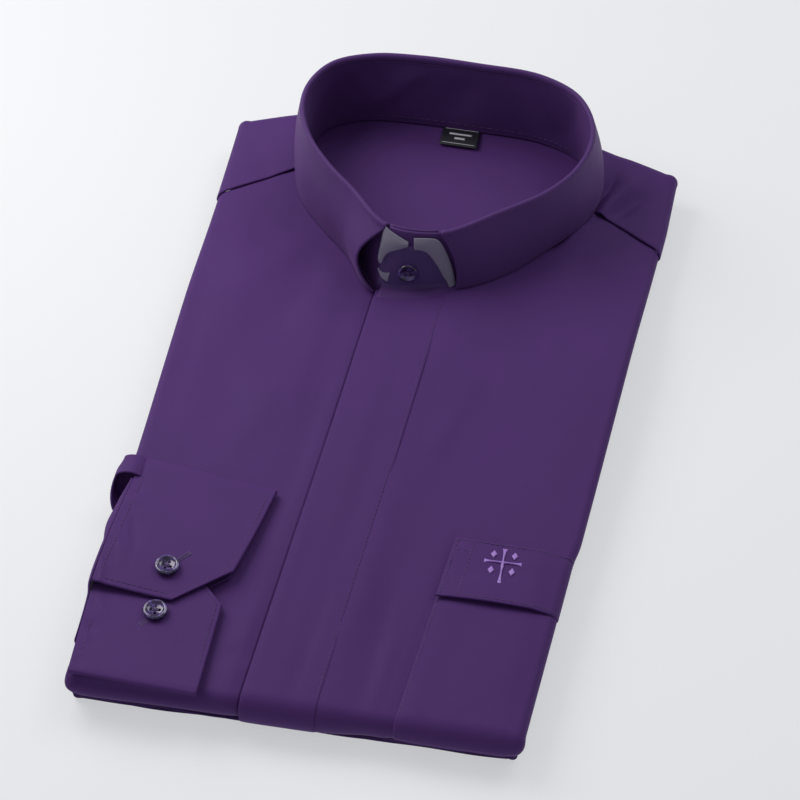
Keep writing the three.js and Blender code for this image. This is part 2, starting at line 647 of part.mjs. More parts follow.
// The middle of the cuff's cloth, seen along the sleeve: from the underlapping end, round the bottom fold,
// along the back and round the top fold to the lapping end. up is the height above the shirt's front, and cut
// is how far the finished edge is in from the line between the corners.
const CUFF_LINE = [
  { along: 72, up: 2.7, cut: 27 },
  { along: 62, up: 2.7, cut: 16.5 },
  { along: 51, up: 2.7, cut: 4 },
  { along: 32, up: 2.6, cut: 2.5 },
  { along: 12, up: 2.5, cut: 0.8 },
  { along: 3, up: 2.4, cut: 0 },
  { along: 0.8, up: 2.1, cut: 0 },
  { along: 0, up: 1.5, cut: 0 },
  { along: 0.8, up: 0.9, cut: 0 },
  { along: 3, up: 0.7, cut: 0.4 },
  { along: 40, up: 0.7, cut: 3.6 },
  { along: 52, up: 0.7, cut: 6 },
  { along: 60, up: 0.7, cut: 13 },
  { along: 68, up: 0.7, cut: 6 },
  { along: 80, up: 0.7, cut: 3.6 },
  { along: 119, up: 0.7, cut: 0.4 },
  { along: 121.2, up: 0.9, cut: 0 },
  { along: 122, up: 1.6, cut: 0 },
  { along: 121.2, up: 2.4, cut: 0 },
  { along: 118, up: 2.8, cut: 0 },
  { along: 104, up: 3.3, cut: 0.8 },
  { along: 90, up: 4.0, cut: 1.8 },
  { along: 78, up: 4.5, cut: 3 },
  { along: 69, up: 4.7, cut: 4.2 },
  { along: 58, up: 4.75, cut: 14.5 },
  { along: 46, up: 4.7, cut: 26 },
];
const LAPPING_FROM = 17; // from this row on, the line is the lapping end
function cuffPoint(index, share, out) {
  const before = CUFF_LINE[Math.max(0, index - 1)];
  const after = CUFF_LINE[Math.min(CUFF_LINE.length - 1, index + 1)];
  const tangent = new THREE.Vector2(after.along - before.along, after.up - before.up).normalize();
  const { along, up, cut } = CUFF_LINE[index];
  const lapping = index > LAPPING_FROM ? 1 - smooth(along, 46, 110) : 0;
  const standOff = CUFF_LIFT * lapping * (1 - share) ** 1.5;
  const plan = cuffPlan(cut, along)(share);
  const height = STACK_HEIGHT + SEAM_GAP + up - tangent.x * out + standOff;
  return new THREE.Vector3(plan.x, plan.y + tangent.y * out, height);
}

function cuff() {
  const shares = [0, 0.2, 0.45, 0.7, 1];
  const half = COLLAR_CLOTH / 2 - 0.1;
  const face = (out) =>
    CUFF_LINE.map((_, index) => shares.map((share) => cuffPoint(index, share, out)));
  return wall(face(half), face(-half));
}

// The sleeve comes out of the cuff's seam and turns down round the side of the stack. It is slit between the
// cuff's two ends, so its part behind the lapping end stands higher.
const SLEEVE_BOTTOM = -163;
const SLEEVE_TOP = -68;
const SLEEVE_SLIT = -134;
const SLEEVE_OUT = 106.4; // x of its outer face, which swells beside the lapping end
const SLEEVE_SWELL = 2.8;
const SLEEVE_LINE = [
  { out: 0, down: 0 },
  { out: 0.5, down: 0.02 },
  { out: 0.88, down: 0.08 },
  { out: 1, down: 0.2 },
  { out: 1, down: 0.45 },
  { out: 0.98, down: 0.72 },
  { out: 0.96, down: 1 },
];
function thickLine(line, thick) {
  return line.map((p, i) => {
    const before = line[Math.max(0, i - 1)];
    const after = line[Math.min(line.length - 1, i + 1)];
    const tangent = new THREE.Vector2(after.x - before.x, after.z - before.z).normalize();
    return { outer: p, inner: { x: p.x - tangent.y * thick, z: p.z + tangent.x * thick } };
  });
}
function clothFromLines(rows, lineAt) {
  const pairs = rows.map((y, i) => thickLine(lineAt(y, i), -TRIM_CLOTH));
  const face = (side) =>
    pairs.map((row, i) => row.map((pair) => new THREE.Vector3(pair[side].x, rows[i], pair[side].z)));
  return wall(face("outer"), face("inner"));
}
const SLEEVE_ROWS = [
  SLEEVE_BOTTOM,
  ...[-159, -154, -147, -140],
  SLEEVE_SLIT - 1,
  SLEEVE_SLIT + 1,
  ...[-124, -114, -104, -94, -86, -80, -74],
  SLEEVE_TOP,
];
function sleeveFall() {
  return clothFromLines(SLEEVE_ROWS, (y, i) => {
    const seam = cuffPlan(0, y - CUFF_CORNERS.seamBottom.y)(0).x - SEAM_GAP - 0.25;
    const top = y < SLEEVE_SLIT ? 20.9 : mix(25.4, 21.4, smooth(y, SLEEVE_SLIT, -62));
    const wave = 0.35 * Math.sin(i * 1.9) + 0.2 * Math.sin(i * 0.8 + 1);
    const swell = SLEEVE_SWELL * Math.exp(-(((y + 98) / 24) ** 2));
    const gathered = smooth(y, -86, -69);
    const outer = -mix(Math.max(SLEEVE_OUT + swell + wave, 1.6 - seam), 1.2 - seam, gathered);
    const foot = mix(1, 18.9, smooth(y, -90, -72)) + 17.5 * (1 - smooth(y, SLEEVE_BOTTOM, -150));
    return SLEEVE_LINE.map((p) => ({ x: mix(seam, outer, p.out), z: mix(top, foot, p.down) }));
  });
}

// A tuck of the sleeve that stands out beside the cuff's top, open towards the hem.
const TUCK_LINE = [
  { x: -104.2, z: 20.4 },
  { x: -108.0, z: 20.3 },
  { x: -111.8, z: 19.2 },
  { x: -114.0, z: 16.6 },
  { x: -113.9, z: 12.4 },
  { x: -112.0, z: 9.4 },
  { x: -109.6, z: 7.8 },
];
const TUCK_BOTTOM = -67;
const TUCK_TOP = -55;
function sleeveTuck() {
  return clothFromLines(steps(3, TUCK_BOTTOM, TUCK_TOP), (y, i) =>
    TUCK_LINE.map((p, k) => ({ x: p.x + 0.5 * i * (k / 6), z: p.z - 0.25 * i })),
  );
}

// ---------- the folded layers behind ----------

// Back, shirt tail, side folds and the other sleeve, as one rounded solid, layered at its edges.
const LAYER_PROFILE = [
  { inset: 3.4, height: 0 },
  { inset: 1.5, height: 0.5 },
  { inset: 0.9, height: 1.4 },
  { inset: 1.3, height: 2.3 },
  { inset: 2.8, height: 2.6 },
  { inset: 1.1, height: 2.9 },
  { inset: 0.6, height: 3.9 },
  { inset: 1.2, height: 4.9 },
  { inset: 2.8, height: 5.2 },
  { inset: 1.6, height: 5.5 },
  { inset: 1.3, height: 6.4 },
  { inset: 2.0, height: 7.1 },
  { inset: 6.4, height: 7.3 },
];
const END_COVER = 2.6; // more inset at the bottom fold, where the fronts wrap the whole stack
const SIDE_COVER = 1.8; // and at the sides
const CORE_LIFT_BODY = -CLOTH - 0.8;
const CORE_LIFT_NECK = LINING_LIFT - COLLAR_CLOTH - 0.6;

const SIDE_ROWS = [-163, -157, -148, -120, -100, -80, -60, -25, 15, 45, 90, 122, 150];

// Stations round the outline: a base point, the outward direction, the fold's roll and the extra inset.
function outlineStations() {
  const list = [];
  const corner = (sx, sy, from, to) => {
    const y = endCentre(sx, sx * WEARER_LEFT.top, sy) * sy;
    const x = sx * cornerX(sx, y);
    for (const angle of steps(4, from, to)) {
      const share = angle / 90;
      list.push({
        x,
        y,
        outX: sx * Math.cos(radians(angle)),
        outY: sy * Math.sin(radians(angle)),
        roll: mix(SIDE_ROLL, endRoll(sy), share),
        cover: mix(SIDE_COVER, sy < 0 ? END_COVER : 0, share),
      });
    }
  };
  const end = (sy, from, to) => {
    const [roll, cover] = [endRoll(sy), sy < 0 ? END_COVER : 0];
    for (const x of steps(8, from, to).slice(1, -1))
      list.push({ x, y: sy * endCentre(1, x, sy), outX: 0, outY: sy, roll, cover });
  };
  const side = (sx, rows) => {
    for (const y of rows)
      list.push({ x: sx * cornerX(sx, y), y, outX: sx, outY: 0, roll: SIDE_ROLL, cover: SIDE_COVER });
  };
  corner(1, -1, 90, 0);
  side(1, SIDE_ROWS);
  corner(1, 1, 0, 90);
  end(1, 95, -95);
  corner(-1, 1, 90, 0);
  side(-1, SIDE_ROWS.toReversed());
  corner(-1, -1, 0, 90);
  end(-1, -92, 84);
  return list;
}

function foldedLayers() {
  const stations = outlineStations();
  const inFrom = (station, inset) => {
    const reach = cornerRadius(station.y) - inset;
    const x = station.x + station.outX * reach;
    return new THREE.Vector3(x, skewed(x, station.y + station.outY * reach), 0);
  };
  const layersTop = (s) => topHeight(s.x, s.y) - s.roll * (1 - Math.cos(turnLimit)) - 0.7;
  const neckInset = (s) => s.roll * (1 - Math.sin(turnLimit)) + 1.5;
  const tallest = LAYER_PROFILE.at(-1).height;
  const coreTop = (x, y) =>
    topHeight(x, Math.min(y, SHOULDER_PEAK - 4)) + mix(CORE_LIFT_BODY, CORE_LIFT_NECK, smooth(y, 35, 55));
  const rings = LAYER_PROFILE.map((row, k) =>
    stations.map((s, i) => {
      const uneven = k > 0 ? 0.3 * Math.max(0, Math.sin(i * 1.7 + k)) : 0;
      return inFrom(s, row.inset + s.cover + uneven).setZ((row.height * layersTop(s)) / tallest);
    }),
  );
  rings.push(stations.map((s) => inFrom(s, neckInset(s)).setZ(layersTop(s) + 0.1)));
  rings.push(stations.map((s) => inFrom(s, neckInset(s)).setZ(topHeight(s.x, s.y) - 3.1)));
  rings.push(stations.map((s) => inFrom(s, neckInset(s) + 2).setZ(coreTop(s.x, s.y) - 0.9)));
  const centreY = 20;
  for (const share of [1, 0.82, 0.64, 0.46, 0.28, 0.12])
    rings.push(
      stations.map((s) => {
        const rim = inFrom(s, neckInset(s) + 5);
        const [x, y] = [rim.x * share, mix(centreY, rim.y, share)];
        return new THREE.Vector3(x, y, coreTop(x, y));
      }),
    );
  const middle = (z) => new THREE.Vector3(0, centreY, z);
  return ringStack(rings, middle(0), middle(coreTop(0, centreY)));
}

// ---------- buttons ----------

// A sew-through button: a dished disc with a round rim and four holes, lying on z = 0.
function buttonGeometry() {
  const profile = [
    [0, 0],
    [BUTTON_RADIUS * 0.8, 0],
    [BUTTON_RADIUS * 0.96, BUTTON_THICK * 0.3],
    [BUTTON_RADIUS, BUTTON_THICK * 0.62],
    [BUTTON_RADIUS * 0.94, BUTTON_THICK * 0.9],
    [BUTTON_RADIUS * 0.82, BUTTON_THICK],
    [BUTTON_RADIUS * 0.68, BUTTON_THICK * 0.86],
    [BUTTON_RADIUS * 0.5, BUTTON_THICK * 0.64],
    [0, BUTTON_THICK * 0.6],
  ].map(([r, z]) => new THREE.Vector2(r, z));
  const lathe = new THREE.LatheGeometry(profile, 20);
  lathe.rotateX(Math.PI / 2);
  let solid = solidOf(lathe);
  const drill = new THREE.CylinderGeometry(BUTTON_HOLE, BUTTON_HOLE, 4 * BUTTON_THICK, 6);
  drill.rotateX(Math.PI / 2);
  for (const [x, y] of [
    [1, 1],
    [-1, 1],
    [-1, -1],
    [1, -1],
  ]) {
    const hole = drill.clone().translate(x * BUTTON_HOLE_PITCH, y * BUTTON_HOLE_PITCH, 0);
    solid = solid.subtract(solidOf(hole));
  }
  return geometryOf(solid);
}

// A manifold solid from a closed geometry, by joining the vertices that share a place.
function solidOf(geometry) {
  const position = geometry.getAttribute("position");
  const index = geometry.index ? [...geometry.index.array] : [...Array(position.count).keys()];
  const seen = new Map();
  const points = [];
  const joined = index.map((i) => {
    const point = [position.getX(i), position.getY(i), position.getZ(i)];
    const key = point.map((v) => v.toFixed(4) * 1 + 0).join();
    if (!seen.has(key)) {
      seen.set(key, points.length / 3);
      points.push(...point);
    }
    return seen.get(key);
  });
  const triangles = [];
  for (let i = 0; i < joined.length; i += 3) {
    const [a, b, c] = joined.slice(i, i + 3);
    if (a !== b && b !== c && a !== c) triangles.push(a, b, c);
  }
  const vertProperties = new Float32Array(points);
  const triVerts = new Uint32Array(triangles);
  const made = new wasm.Manifold(new wasm.Mesh({ numProp: 3, vertProperties, triVerts }));
  if (made.volume() > 0) return made;
  const turned = triVerts.slice();
  for (let i = 0; i < turned.length; i += 3) turned.set([triVerts[i + 2], triVerts[i + 1]], i + 1);
  return new wasm.Manifold(new wasm.Mesh({ numProp: 3, vertProperties, triVerts: turned }));
}

function geometryOf(solid) {
  const mesh = solid.getMesh();
  const geometry = new THREE.BufferGeometry();
  geometry.setAttribute("position", new THREE.BufferAttribute(mesh.vertProperties.slice(), 3));
  geometry.setIndex(new THREE.BufferAttribute(mesh.triVerts.slice(), 1));
  geometry.computeVertexNormals();
  return geometry;
}

// ---------- materials and the finished group ----------

const cloth = (color) => new THREE.MeshStandardMaterial({ color, roughness: 0.72, metalness: 0 });
const purple = cloth("#43295f");
const purpleCollar = cloth("#47305f");
const purpleLining = cloth("#4a3066");
const purpleBehind = cloth("#38244f");
const labelBlack = new THREE.MeshStandardMaterial({ color: "#101014", roughness: 0.6, metalness: 0 });
const buttonResin = new THREE.MeshStandardMaterial({ color: "#1c1836", roughness: 0.15, metalness: 0 });
const clearPlastic = new THREE.MeshStandardMaterial({
  color: "#8d8797",
  roughness: 0.1,
  metalness: 0,
  transparent: true,
  opacity: 0.5,
});

const shirt = new THREE.Group();
function add(name, geometry, material) {
  const mesh = new THREE.Mesh(geometry, material);
  mesh.name = name;
  shirt.add(mesh);
  return mesh;
}

add("folded_layers_behind", foldedLayers(), purpleBehind);
add("front_right", frontPanel(-1), purple);
add("front_left", frontPanel(1), purple);
add("fly_placket", placketPanel(), purple);
add("yoke", yokePanel(), purple);
add("yoke_lining", yokeLining(), purpleLining);
add("collar_stand", collarStand(), purpleCollar);
add("collar_leaf", collarLeaf(), purpleCollar);
add("collar_insert", collarInsert(), clearPlastic);
add("neck_label", neckLabel(), labelBlack);
add("chest_pocket", chestPocket(), purple);
add("pocket_flap", pocketFlap(), purple);
add("cuff_right", cuff(), purple);
add("sleeve_right", sleeveFall(), purple);
add("sleeve_right_tuck", sleeveTuck(), purple);

const button = buttonGeometry();

// The cuff's two buttons lie on its upper faces, one on the lapping end and one on the underlap.
const CUFF_BUTTONS = [
  { name: "cuff_button_lap", x: -75.9, y: -117.8, height: 6.8 },
  { name: "cuff_button_underlap", x: -75.7, y: -141.3, height: 4.0 },
];
for (const { name, x, y, height } of CUFF_BUTTONS)
  add(name, button, buttonResin).position.set(x, y, STACK_HEIGHT + height);

// The neck button faces forwards on the stand, inside the insert's arch.
const neckButton = add("neck_button", button, buttonResin);
const seat = frontOfStand(-0.12, 0.38, SEAM_GAP + 0.1);
const upStand = frontOfStand(0, 0.8, 0).sub(frontOfStand(0, 0.2, 0)).normalize();
const acrossStand = frontOfStand(0.4, 0.42, 0).sub(frontOfStand(-0.4, 0.42, 0)).normalize();
const facing = new THREE.Vector3().crossVectors(acrossStand, upStand).normalize();
neckButton.quaternion.setFromRotationMatrix(
  new THREE.Matrix4().makeBasis(acrossStand, new THREE.Vector3().crossVectors(facing, acrossStand), facing),
);
neckButton.position.copy(seat);
neckButton.scale.setScalar(NECK_BUTTON_SCALE);

export default shirt;
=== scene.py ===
import math

import bmesh
import bpy
from mathutils import Matrix, Vector


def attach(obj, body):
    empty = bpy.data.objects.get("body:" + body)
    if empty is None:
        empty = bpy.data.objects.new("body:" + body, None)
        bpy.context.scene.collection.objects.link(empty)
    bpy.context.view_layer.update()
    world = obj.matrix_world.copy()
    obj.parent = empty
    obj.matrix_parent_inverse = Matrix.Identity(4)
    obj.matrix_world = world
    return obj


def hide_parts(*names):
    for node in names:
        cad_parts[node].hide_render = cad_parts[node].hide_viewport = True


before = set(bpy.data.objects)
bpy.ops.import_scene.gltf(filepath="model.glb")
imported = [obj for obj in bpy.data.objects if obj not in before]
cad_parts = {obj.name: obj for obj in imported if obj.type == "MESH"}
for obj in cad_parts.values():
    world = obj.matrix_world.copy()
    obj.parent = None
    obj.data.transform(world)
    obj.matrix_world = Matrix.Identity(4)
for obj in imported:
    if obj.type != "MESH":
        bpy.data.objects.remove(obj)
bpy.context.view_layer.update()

# ---------- table, camera and lamps ----------
# The shirt lies on a pale smooth table top under a large soft lamp to its upper left.
# A dimmer one fills the shadows from the front, and the room lights everything a little.

CAMERA_ELEVATION = math.radians(48.3)
CAMERA_AZIMUTH = math.radians(11.3)
CAMERA_DISTANCE = 1.7778
CAMERA_TARGET = Vector((0.00178, 0.021, 0))
CAMERA_LENS = 170.16
SENSOR = 36
ROOM_LIGHT = 0.34
TABLE_HALF, TABLE_GAP = 4, 0.0002

back = Vector(
    (
        math.sin(CAMERA_AZIMUTH) * math.cos(CAMERA_ELEVATION),
        -math.cos(CAMERA_AZIMUTH) * math.cos(CAMERA_ELEVATION),
        math.sin(CAMERA_ELEVATION),
    )
)
camera_data = bpy.data.cameras.new("camera")
camera_data.lens = CAMERA_LENS
camera_data.sensor_width = SENSOR
camera = bpy.data.objects.new("camera", camera_data)
camera.location = CAMERA_TARGET + back * CAMERA_DISTANCE
camera.rotation_mode = "QUATERNION"
camera.rotation_quaternion = (-back).to_track_quat("-Z", "Y")
bpy.context.collection.objects.link(camera)
bpy.context.scene.camera = camera


def lamp(name, place, power, size, colour):
    data = bpy.data.lights.new(name, "AREA")
    data.energy, data.size, data.color = power, size, colour
    lit = bpy.data.objects.new(name, data)
    lit.location = place
    lit.rotation_mode = "QUATERNION"
    lit.rotation_quaternion = (-Vector(place)).to_track_quat("-Z", "Y")
    bpy.context.collection.objects.link(lit)


lamp("main_lamp", (-0.47, 0.22, 0.52), 4.0, 0.5, (1, 0.985, 0.97))
lamp("back_lamp", (0.55, 0.85, 1.2), 7, 0.9, (0.98, 0.99, 1))
lamp("front_lamp", (-0.9, -1.2, 1.3), 0.8, 1.2, (0.95, 0.97, 1))

room = bpy.data.worlds.new("room")
room.use_nodes = True
daylight = room.node_tree.nodes["Background"].inputs
daylight["Color"].default_value = (0.93, 0.95, 1, 1)
daylight["Strength"].default_value = ROOM_LIGHT
bpy.context.scene.world = room
bpy.context.scene.view_settings.view_transform = "Standard"


class Wire:
    """A shader socket. Arithmetic on it adds Math nodes."""

    def __init__(self, socket):
        self.socket = socket

    def math(self, operation, *values):
        node = self.socket.id_data.nodes.new("ShaderNodeMath")
        node.operation = operation
        for slot_in, value in zip(node.inputs, values):
            if isinstance(value, Wire):
                self.socket.id_data.links.new(value.socket, slot_in)
            else:
                slot_in.default_value = value
        return Wire(node.outputs[0])

    def __add__(self, other):
        return self.math("ADD", self, other)

    def __radd__(self, other):
        return self.math("ADD", other, self)

    def __sub__(self, other):
        return self.math("SUBTRACT", self, other)

    def __rsub__(self, other):
        return self.math("SUBTRACT", other, self)

    def __mul__(self, other):
        return self.math("MULTIPLY", self, other)

    def __rmul__(self, other):
        return self.math("MULTIPLY", other, self)

    def __truediv__(self, other):
        return self.math("DIVIDE", self, other)

    def __pow__(self, other):
        return self.math("POWER", self, other)

    def sine(self):
        return self.math("SINE", self)

    def clamped(self):
        node = self.socket.id_data.nodes.new("ShaderNodeClamp")
        self.socket.id_data.links.new(self.socket, node.inputs[0])
        return Wire(node.outputs[0])


class Finish:
    """A material under construction."""

    def __init__(self, name):
        self.material = bpy.data.materials.new(name)
        self.material.use_nodes = True
        self.tree = self.material.node_tree
        self.shader = self.tree.nodes["Principled BSDF"]

    def node(self, kind, inputs=None, out=0, stops=None, **settings):
        made = self.tree.nodes.new(kind)
        for key, value in settings.items():
            setattr(made, key, value)
        if stops:
            for element, (place, colour) in zip(made.color_ramp.elements, stops):
                element.position, element.color = place, colour
        for key, value in (inputs or {}).items():
            self.put(made.inputs[key], value)
        return Wire(made.outputs[out])

    def put(self, socket, value):
        if isinstance(value, Wire):
            self.tree.links.new(value.socket, socket)
        else:
            socket.default_value = value

    def set(self, **values):
        for key, value in values.items():
            self.put(self.shader.inputs[key.replace("_", " ")], value)

    def blend(self, factor, first, second):
        inputs = {0: factor, 6: first, 7: second}
        return self.node("ShaderNodeMix", inputs, out=2, data_type="RGBA")

    def noise(self, place, scale, detail=2.0, rough=0.5):
        inputs = {"Vector": place, "Scale": scale, "Detail": detail, "Roughness": rough}
        return self.node("ShaderNodeTexNoise", inputs)

    def stretched(self, place, scale):
        return self.node("ShaderNodeMapping", {"Vector": place, "Scale": scale})

    def bump(self, height, strength, distance, under=None):
        inputs = {"Height": height, "Strength": strength, "Distance": distance}
        if under:
            inputs["Normal"] = under
        return self.node("ShaderNodeBump", inputs)


table_top = Finish("pale_table_top")
table_place = table_top.node("ShaderNodeTexCoord", out=3)
table_top.set(
    Base_Color=table_top.blend(
        table_top.noise(table_place, 3.0), (0.29, 0.293, 0.30, 1), (0.31, 0.313, 0.32, 1)
    ),
    Roughness=0.7,
    Emission_Color=(0.97, 0.98, 1, 1),
    Emission_Strength=0.51,
)
table_mesh = bmesh.new()
bmesh.ops.create_grid(table_mesh, x_segments=2, y_segments=2, size=TABLE_HALF)
bmesh.ops.translate(table_mesh, verts=table_mesh.verts, vec=(0, 0, -TABLE_GAP))
table_data = bpy.data.meshes.new("table_top")
table_mesh.to_mesh(table_data)
table_data.materials.append(table_top.material)
floor = bpy.data.objects.new("table_top", table_data)
bpy.context.collection.objects.link(floor)

# ---------- right front ----------
# The wearer's right front, of fine purple poplin. It turns round the side fold and the bottom fold,
# is cut to the neckline and the yoke seam at the top, and runs on under the fly placket.

MM = 0.001
SEAM_GAP = 0.35
CLOTH = 1.4
WEARER_RIGHT = (107.4, 108.8)
WEARER_LEFT = (97.0, 109.0)
CUFF_SQUEEZE, POCKET_SQUEEZE = 4.2, 2.2
UNDER_CUFF_FROM, UNDER_CUFF_TO = (-171, -150), (-105, -55)
BESIDE_POCKET_TO = (-82, -60)
SKEW_DROP, SKEW_SLOPE, SKEW_FROM = 1.5, 0.021, 110.0
BOTTOM_EDGE = -179.0
WIDEST_AT = 140.0
SHOULDER_PEAK = 188.0
SHOULDER_FROM = 45.0
SHOULDER_DROP = (16.2, 12.5)
SHOULDER_BEND = 0.8
STACK_HEIGHT = 17.5
SIDE_ROLL = 3.6
BOTTOM_ROLL = 7.0
TOP_ROLL = 5.0
BOTTOM_CORNER = 7.2
TOP_CORNER = 5.2
CORNER_CHANGE = (-90, 90)
FOLD_TURN = math.radians(150)
CHEST_RISE, CHEST_SPAN = 3.5, (-60, 70)
NECK_RISE, NECK_SPAN = 6.0, (90, 182)
SHOULDER_FALL, SHOULDER_SPAN = 8.5, (50, 165)
BOTTOM_CENTRE = BOTTOM_EDGE + BOTTOM_CORNER


def mix(a, b, share):
    return a + (b - a) * share


def clamp(value, low=0.0, high=1.0):
    return min(max(value, low), high)


def smooth(value, start, end):
    share = clamp((value - start) / (end - start))
    return share * share * (3 - 2 * share)


def share_up(y, start, end):
    return clamp((y - start) / (end - start))


def side_edge(sign, y):
    bottom, top = WEARER_RIGHT if sign < 0 else WEARER_LEFT
    if sign < 0:
        squeeze = CUFF_SQUEEZE * smooth(y, *UNDER_CUFF_FROM) * (1 - smooth(y, *UNDER_CUFF_TO))
    else:
        squeeze = POCKET_SQUEEZE * (1 - smooth(y, *BESIDE_POCKET_TO))
    return mix(bottom, top, share_up(y, BOTTOM_EDGE, WIDEST_AT)) - squeeze


def top_edge(x):
    drop = SHOULDER_DROP[0] if x < 0 else SHOULDER_DROP[1]
    return SHOULDER_PEAK - drop * share_up(abs(x), SHOULDER_FROM, WEARER_LEFT[1]) ** SHOULDER_BEND


def skewed(x, y):
    """The bottom fold isn't square to the centreline: it runs down to the wearer's right."""
    return y - (SKEW_DROP - SKEW_SLOPE * x) * smooth(-y, SKEW_FROM, -BOTTOM_EDGE)


def corner_radius(y):
    return mix(BOTTOM_CORNER, TOP_CORNER, share_up(y, *CORNER_CHANGE))


def top_height(x, y):
    chest = CHEST_RISE * smooth(y, *CHEST_SPAN)
    neck = NECK_RISE * smooth(y, *NECK_SPAN)
    shoulder = SHOULDER_FALL * (abs(x) / WEARER_LEFT[1]) ** 3 * smooth(y, *SHOULDER_SPAN)
    return STACK_HEIGHT + chest + neck - shoulder


def corner_x(sign, y):
    return side_edge(sign, y) - corner_radius(y)


def end_centre(sign, x, y):
    if y < 0:
        return -BOTTOM_CENTRE
    reach = corner_x(sign, SHOULDER_PEAK)
    return top_edge(clamp(x, -reach, reach)) - TOP_CORNER


def end_roll(y):
    return TOP_ROLL if y > 0 else BOTTOM_ROLL


def flat_part(y, roll):
    return corner_radius(y) - roll


def cloth_length(y, roll):
    return flat_part(y, roll) + roll * FOLD_TURN


CORNER_SHARPNESS = 0.25  # how far a pressed corner stands out past a round one


def sharpened(reach, angle):
    return reach * (1 + CORNER_SHARPNESS * math.sin(2 * angle) ** 2)


def over_fold(length, flat, roll):
    """Where the cloth is after running a length out from a corner's centre, over a fold."""
    if length <= flat:
        return length, 0.0, 0.0
    turn = (length - flat) / roll
    return flat + roll * math.sin(turn), roll * (1 - math.cos(turn)), turn


def skin(across, along, lift=0.0):
    """The point of the folded shirt's surface, in mm, at a place on the flat cloth."""
    sign = -1 if across < 0 else 1
    end_sign = 1 if along > 0 else -1
    end = end_centre(sign, across, along)
    v = abs(along) - end
    side = corner_x(sign, end * end_sign if v > 0 else along)
    u = abs(across) - side
    roll = end_roll(along)
    x, y, out_x, out_y = across, along, 0.0, 0.0
    reach, drop, turn = 0.0, 0.0, 0.0
    if u > 0 and v > 0:
        a = u / cloth_length(along, SIDE_ROLL)
        b = v / cloth_length(along, roll)
        disc_x = a * math.sqrt(max(0, 1 - b * b / 2))
        disc_y = b * math.sqrt(max(0, 1 - a * a / 2))
        share = math.hypot(disc_x, disc_y)
        corner_roll = mix(SIDE_ROLL, roll, math.atan2(disc_y, disc_x) / (math.pi / 2))
        length = share * cloth_length(along, corner_roll)
        reach, drop, turn = over_fold(length, flat_part(along, corner_roll), corner_roll)
        out_x, out_y = sign * disc_x / share, end_sign * disc_y / share
        reach = sharpened(reach, math.atan2(disc_y, disc_x))
        x, y = sign * side + out_x * reach, end_sign * end + out_y * reach
    elif u > 0:
        reach, drop, turn = over_fold(u, flat_part(along, SIDE_ROLL), SIDE_ROLL)
        out_x = sign
        x = sign * (side + reach)
    elif v > 0:
        reach, drop, turn = over_fold(v, flat_part(along, roll), roll)
        out_y = end_sign
        y = end_sign * (end + reach)
    spread = lift * math.sin(turn)
    height = top_height(x, y) - drop + lift * math.cos(turn)
    x += out_x * spread
    return Vector((x, skewed(x, y + out_y * spread), height))


def side_place(sign, y, share):
    """A place round a side fold: share 0 on the flat and 1 at the hidden edge."""
    length = mix(flat_part(y, SIDE_ROLL), cloth_length(y, SIDE_ROLL), share)
    return sign * (corner_x(sign, y) + length)


# The collar's fold and the leaf's lower edge, from the right notch round the back to the left one.
COLLAR_PLACES = [
    ((-17, 79), (-20, 66)),
    ((-38, 97.5), (-37, 87)),
    ((-53, 110.5), (-54, 104)),
    ((-65, 125), (-67, 120)),
    ((-72, 143), (-74.5, 140)),
    ((-71.3, 159), (-76, 158)),
    ((-62.5, 173.8), (-68, 175)),
    ((-44, 182.3), (-48, 185)),
    ((-20, 185), (-22, 187.5)),
    ((8, 185), (10, 187.5)),
    ((39, 183.6), (42, 186)),
    ((59.3, 174.3), (65, 177)),
    ((69.7, 158), (75, 160)),
    ((71.5, 143), (75.5, 145)),
    ((66.5, 126), (70, 129)),
    ((55.5, 111.5), (57, 111)),
    ((35.5, 96), (39, 89.5)),
    ((10, 79), (18, 74.5)),
]
RING_SHARE = (len(COLLAR_PLACES) - 1) / len(COLLAR_PLACES)
COLLAR_CLOTH = 1.3
FOLD_HEIGHT_FRONT = 54.0
FOLD_HEIGHT_BACK = 66.5
STAND_INSET_FRONT = 3.0
STAND_INSET_BACK = 7.5
STAND_CLEAR = 0.1
RING_NUDGE = 0.004
LINING_LIFT = -CLOTH - SEAM_GAP


def hermite(a, b, leave, arrive, t):
    c2 = -3 * a + 3 * b - 2 * leave - arrive
    c3 = 2 * a - 2 * b + leave + arrive
    return a + leave * t + c2 * t * t + c3 * t * t * t


def on_ring(line, round_share):
    """A point of the closed curve through the fold (line 0) or the lower edge (line 1)."""
    count = len(COLLAR_PLACES)
    place = (round_share * RING_SHARE) % 1 * count
    first = int(place)
    p = [Vector(COLLAR_PLACES[(first + k) % count][line]) for k in (-1, 0, 1, 2)]
    gaps = [math.sqrt((p[k + 1] - p[k]).length) for k in range(3)]
    leave = (p[1] - p[0]) / gaps[0] - (p[2] - p[0]) / (gaps[0] + gaps[1]) + (p[2] - p[1]) / gaps[1]
    arrive = (p[2] - p[1]) / gaps[1] - (p[3] - p[1]) / (gaps[1] + gaps[2]) + (p[3] - p[2]) / gaps[2]
    return hermite(p[1], p[2], leave * gaps[1], arrive * gaps[1], place - first)


def outward_at(line, round_share):
    ahead, behind = on_ring(line, round_share + RING_NUDGE), on_ring(line, round_share - RING_NUDGE)
    along = (ahead - behind).normalized()
    return Vector((-along.y, along.x))


def backness(round_share):
    return math.sin(math.pi * clamp(round_share))


def fold_height(round_share):
    return mix(FOLD_HEIGHT_FRONT, FOLD_HEIGHT_BACK, backness(round_share))


def skin_height(x, y):
    over = max(0, y - (top_edge(x) - TOP_ROLL))
    return top_height(x, y) - TOP_ROLL + math.sqrt(max(0, TOP_ROLL**2 - over**2))


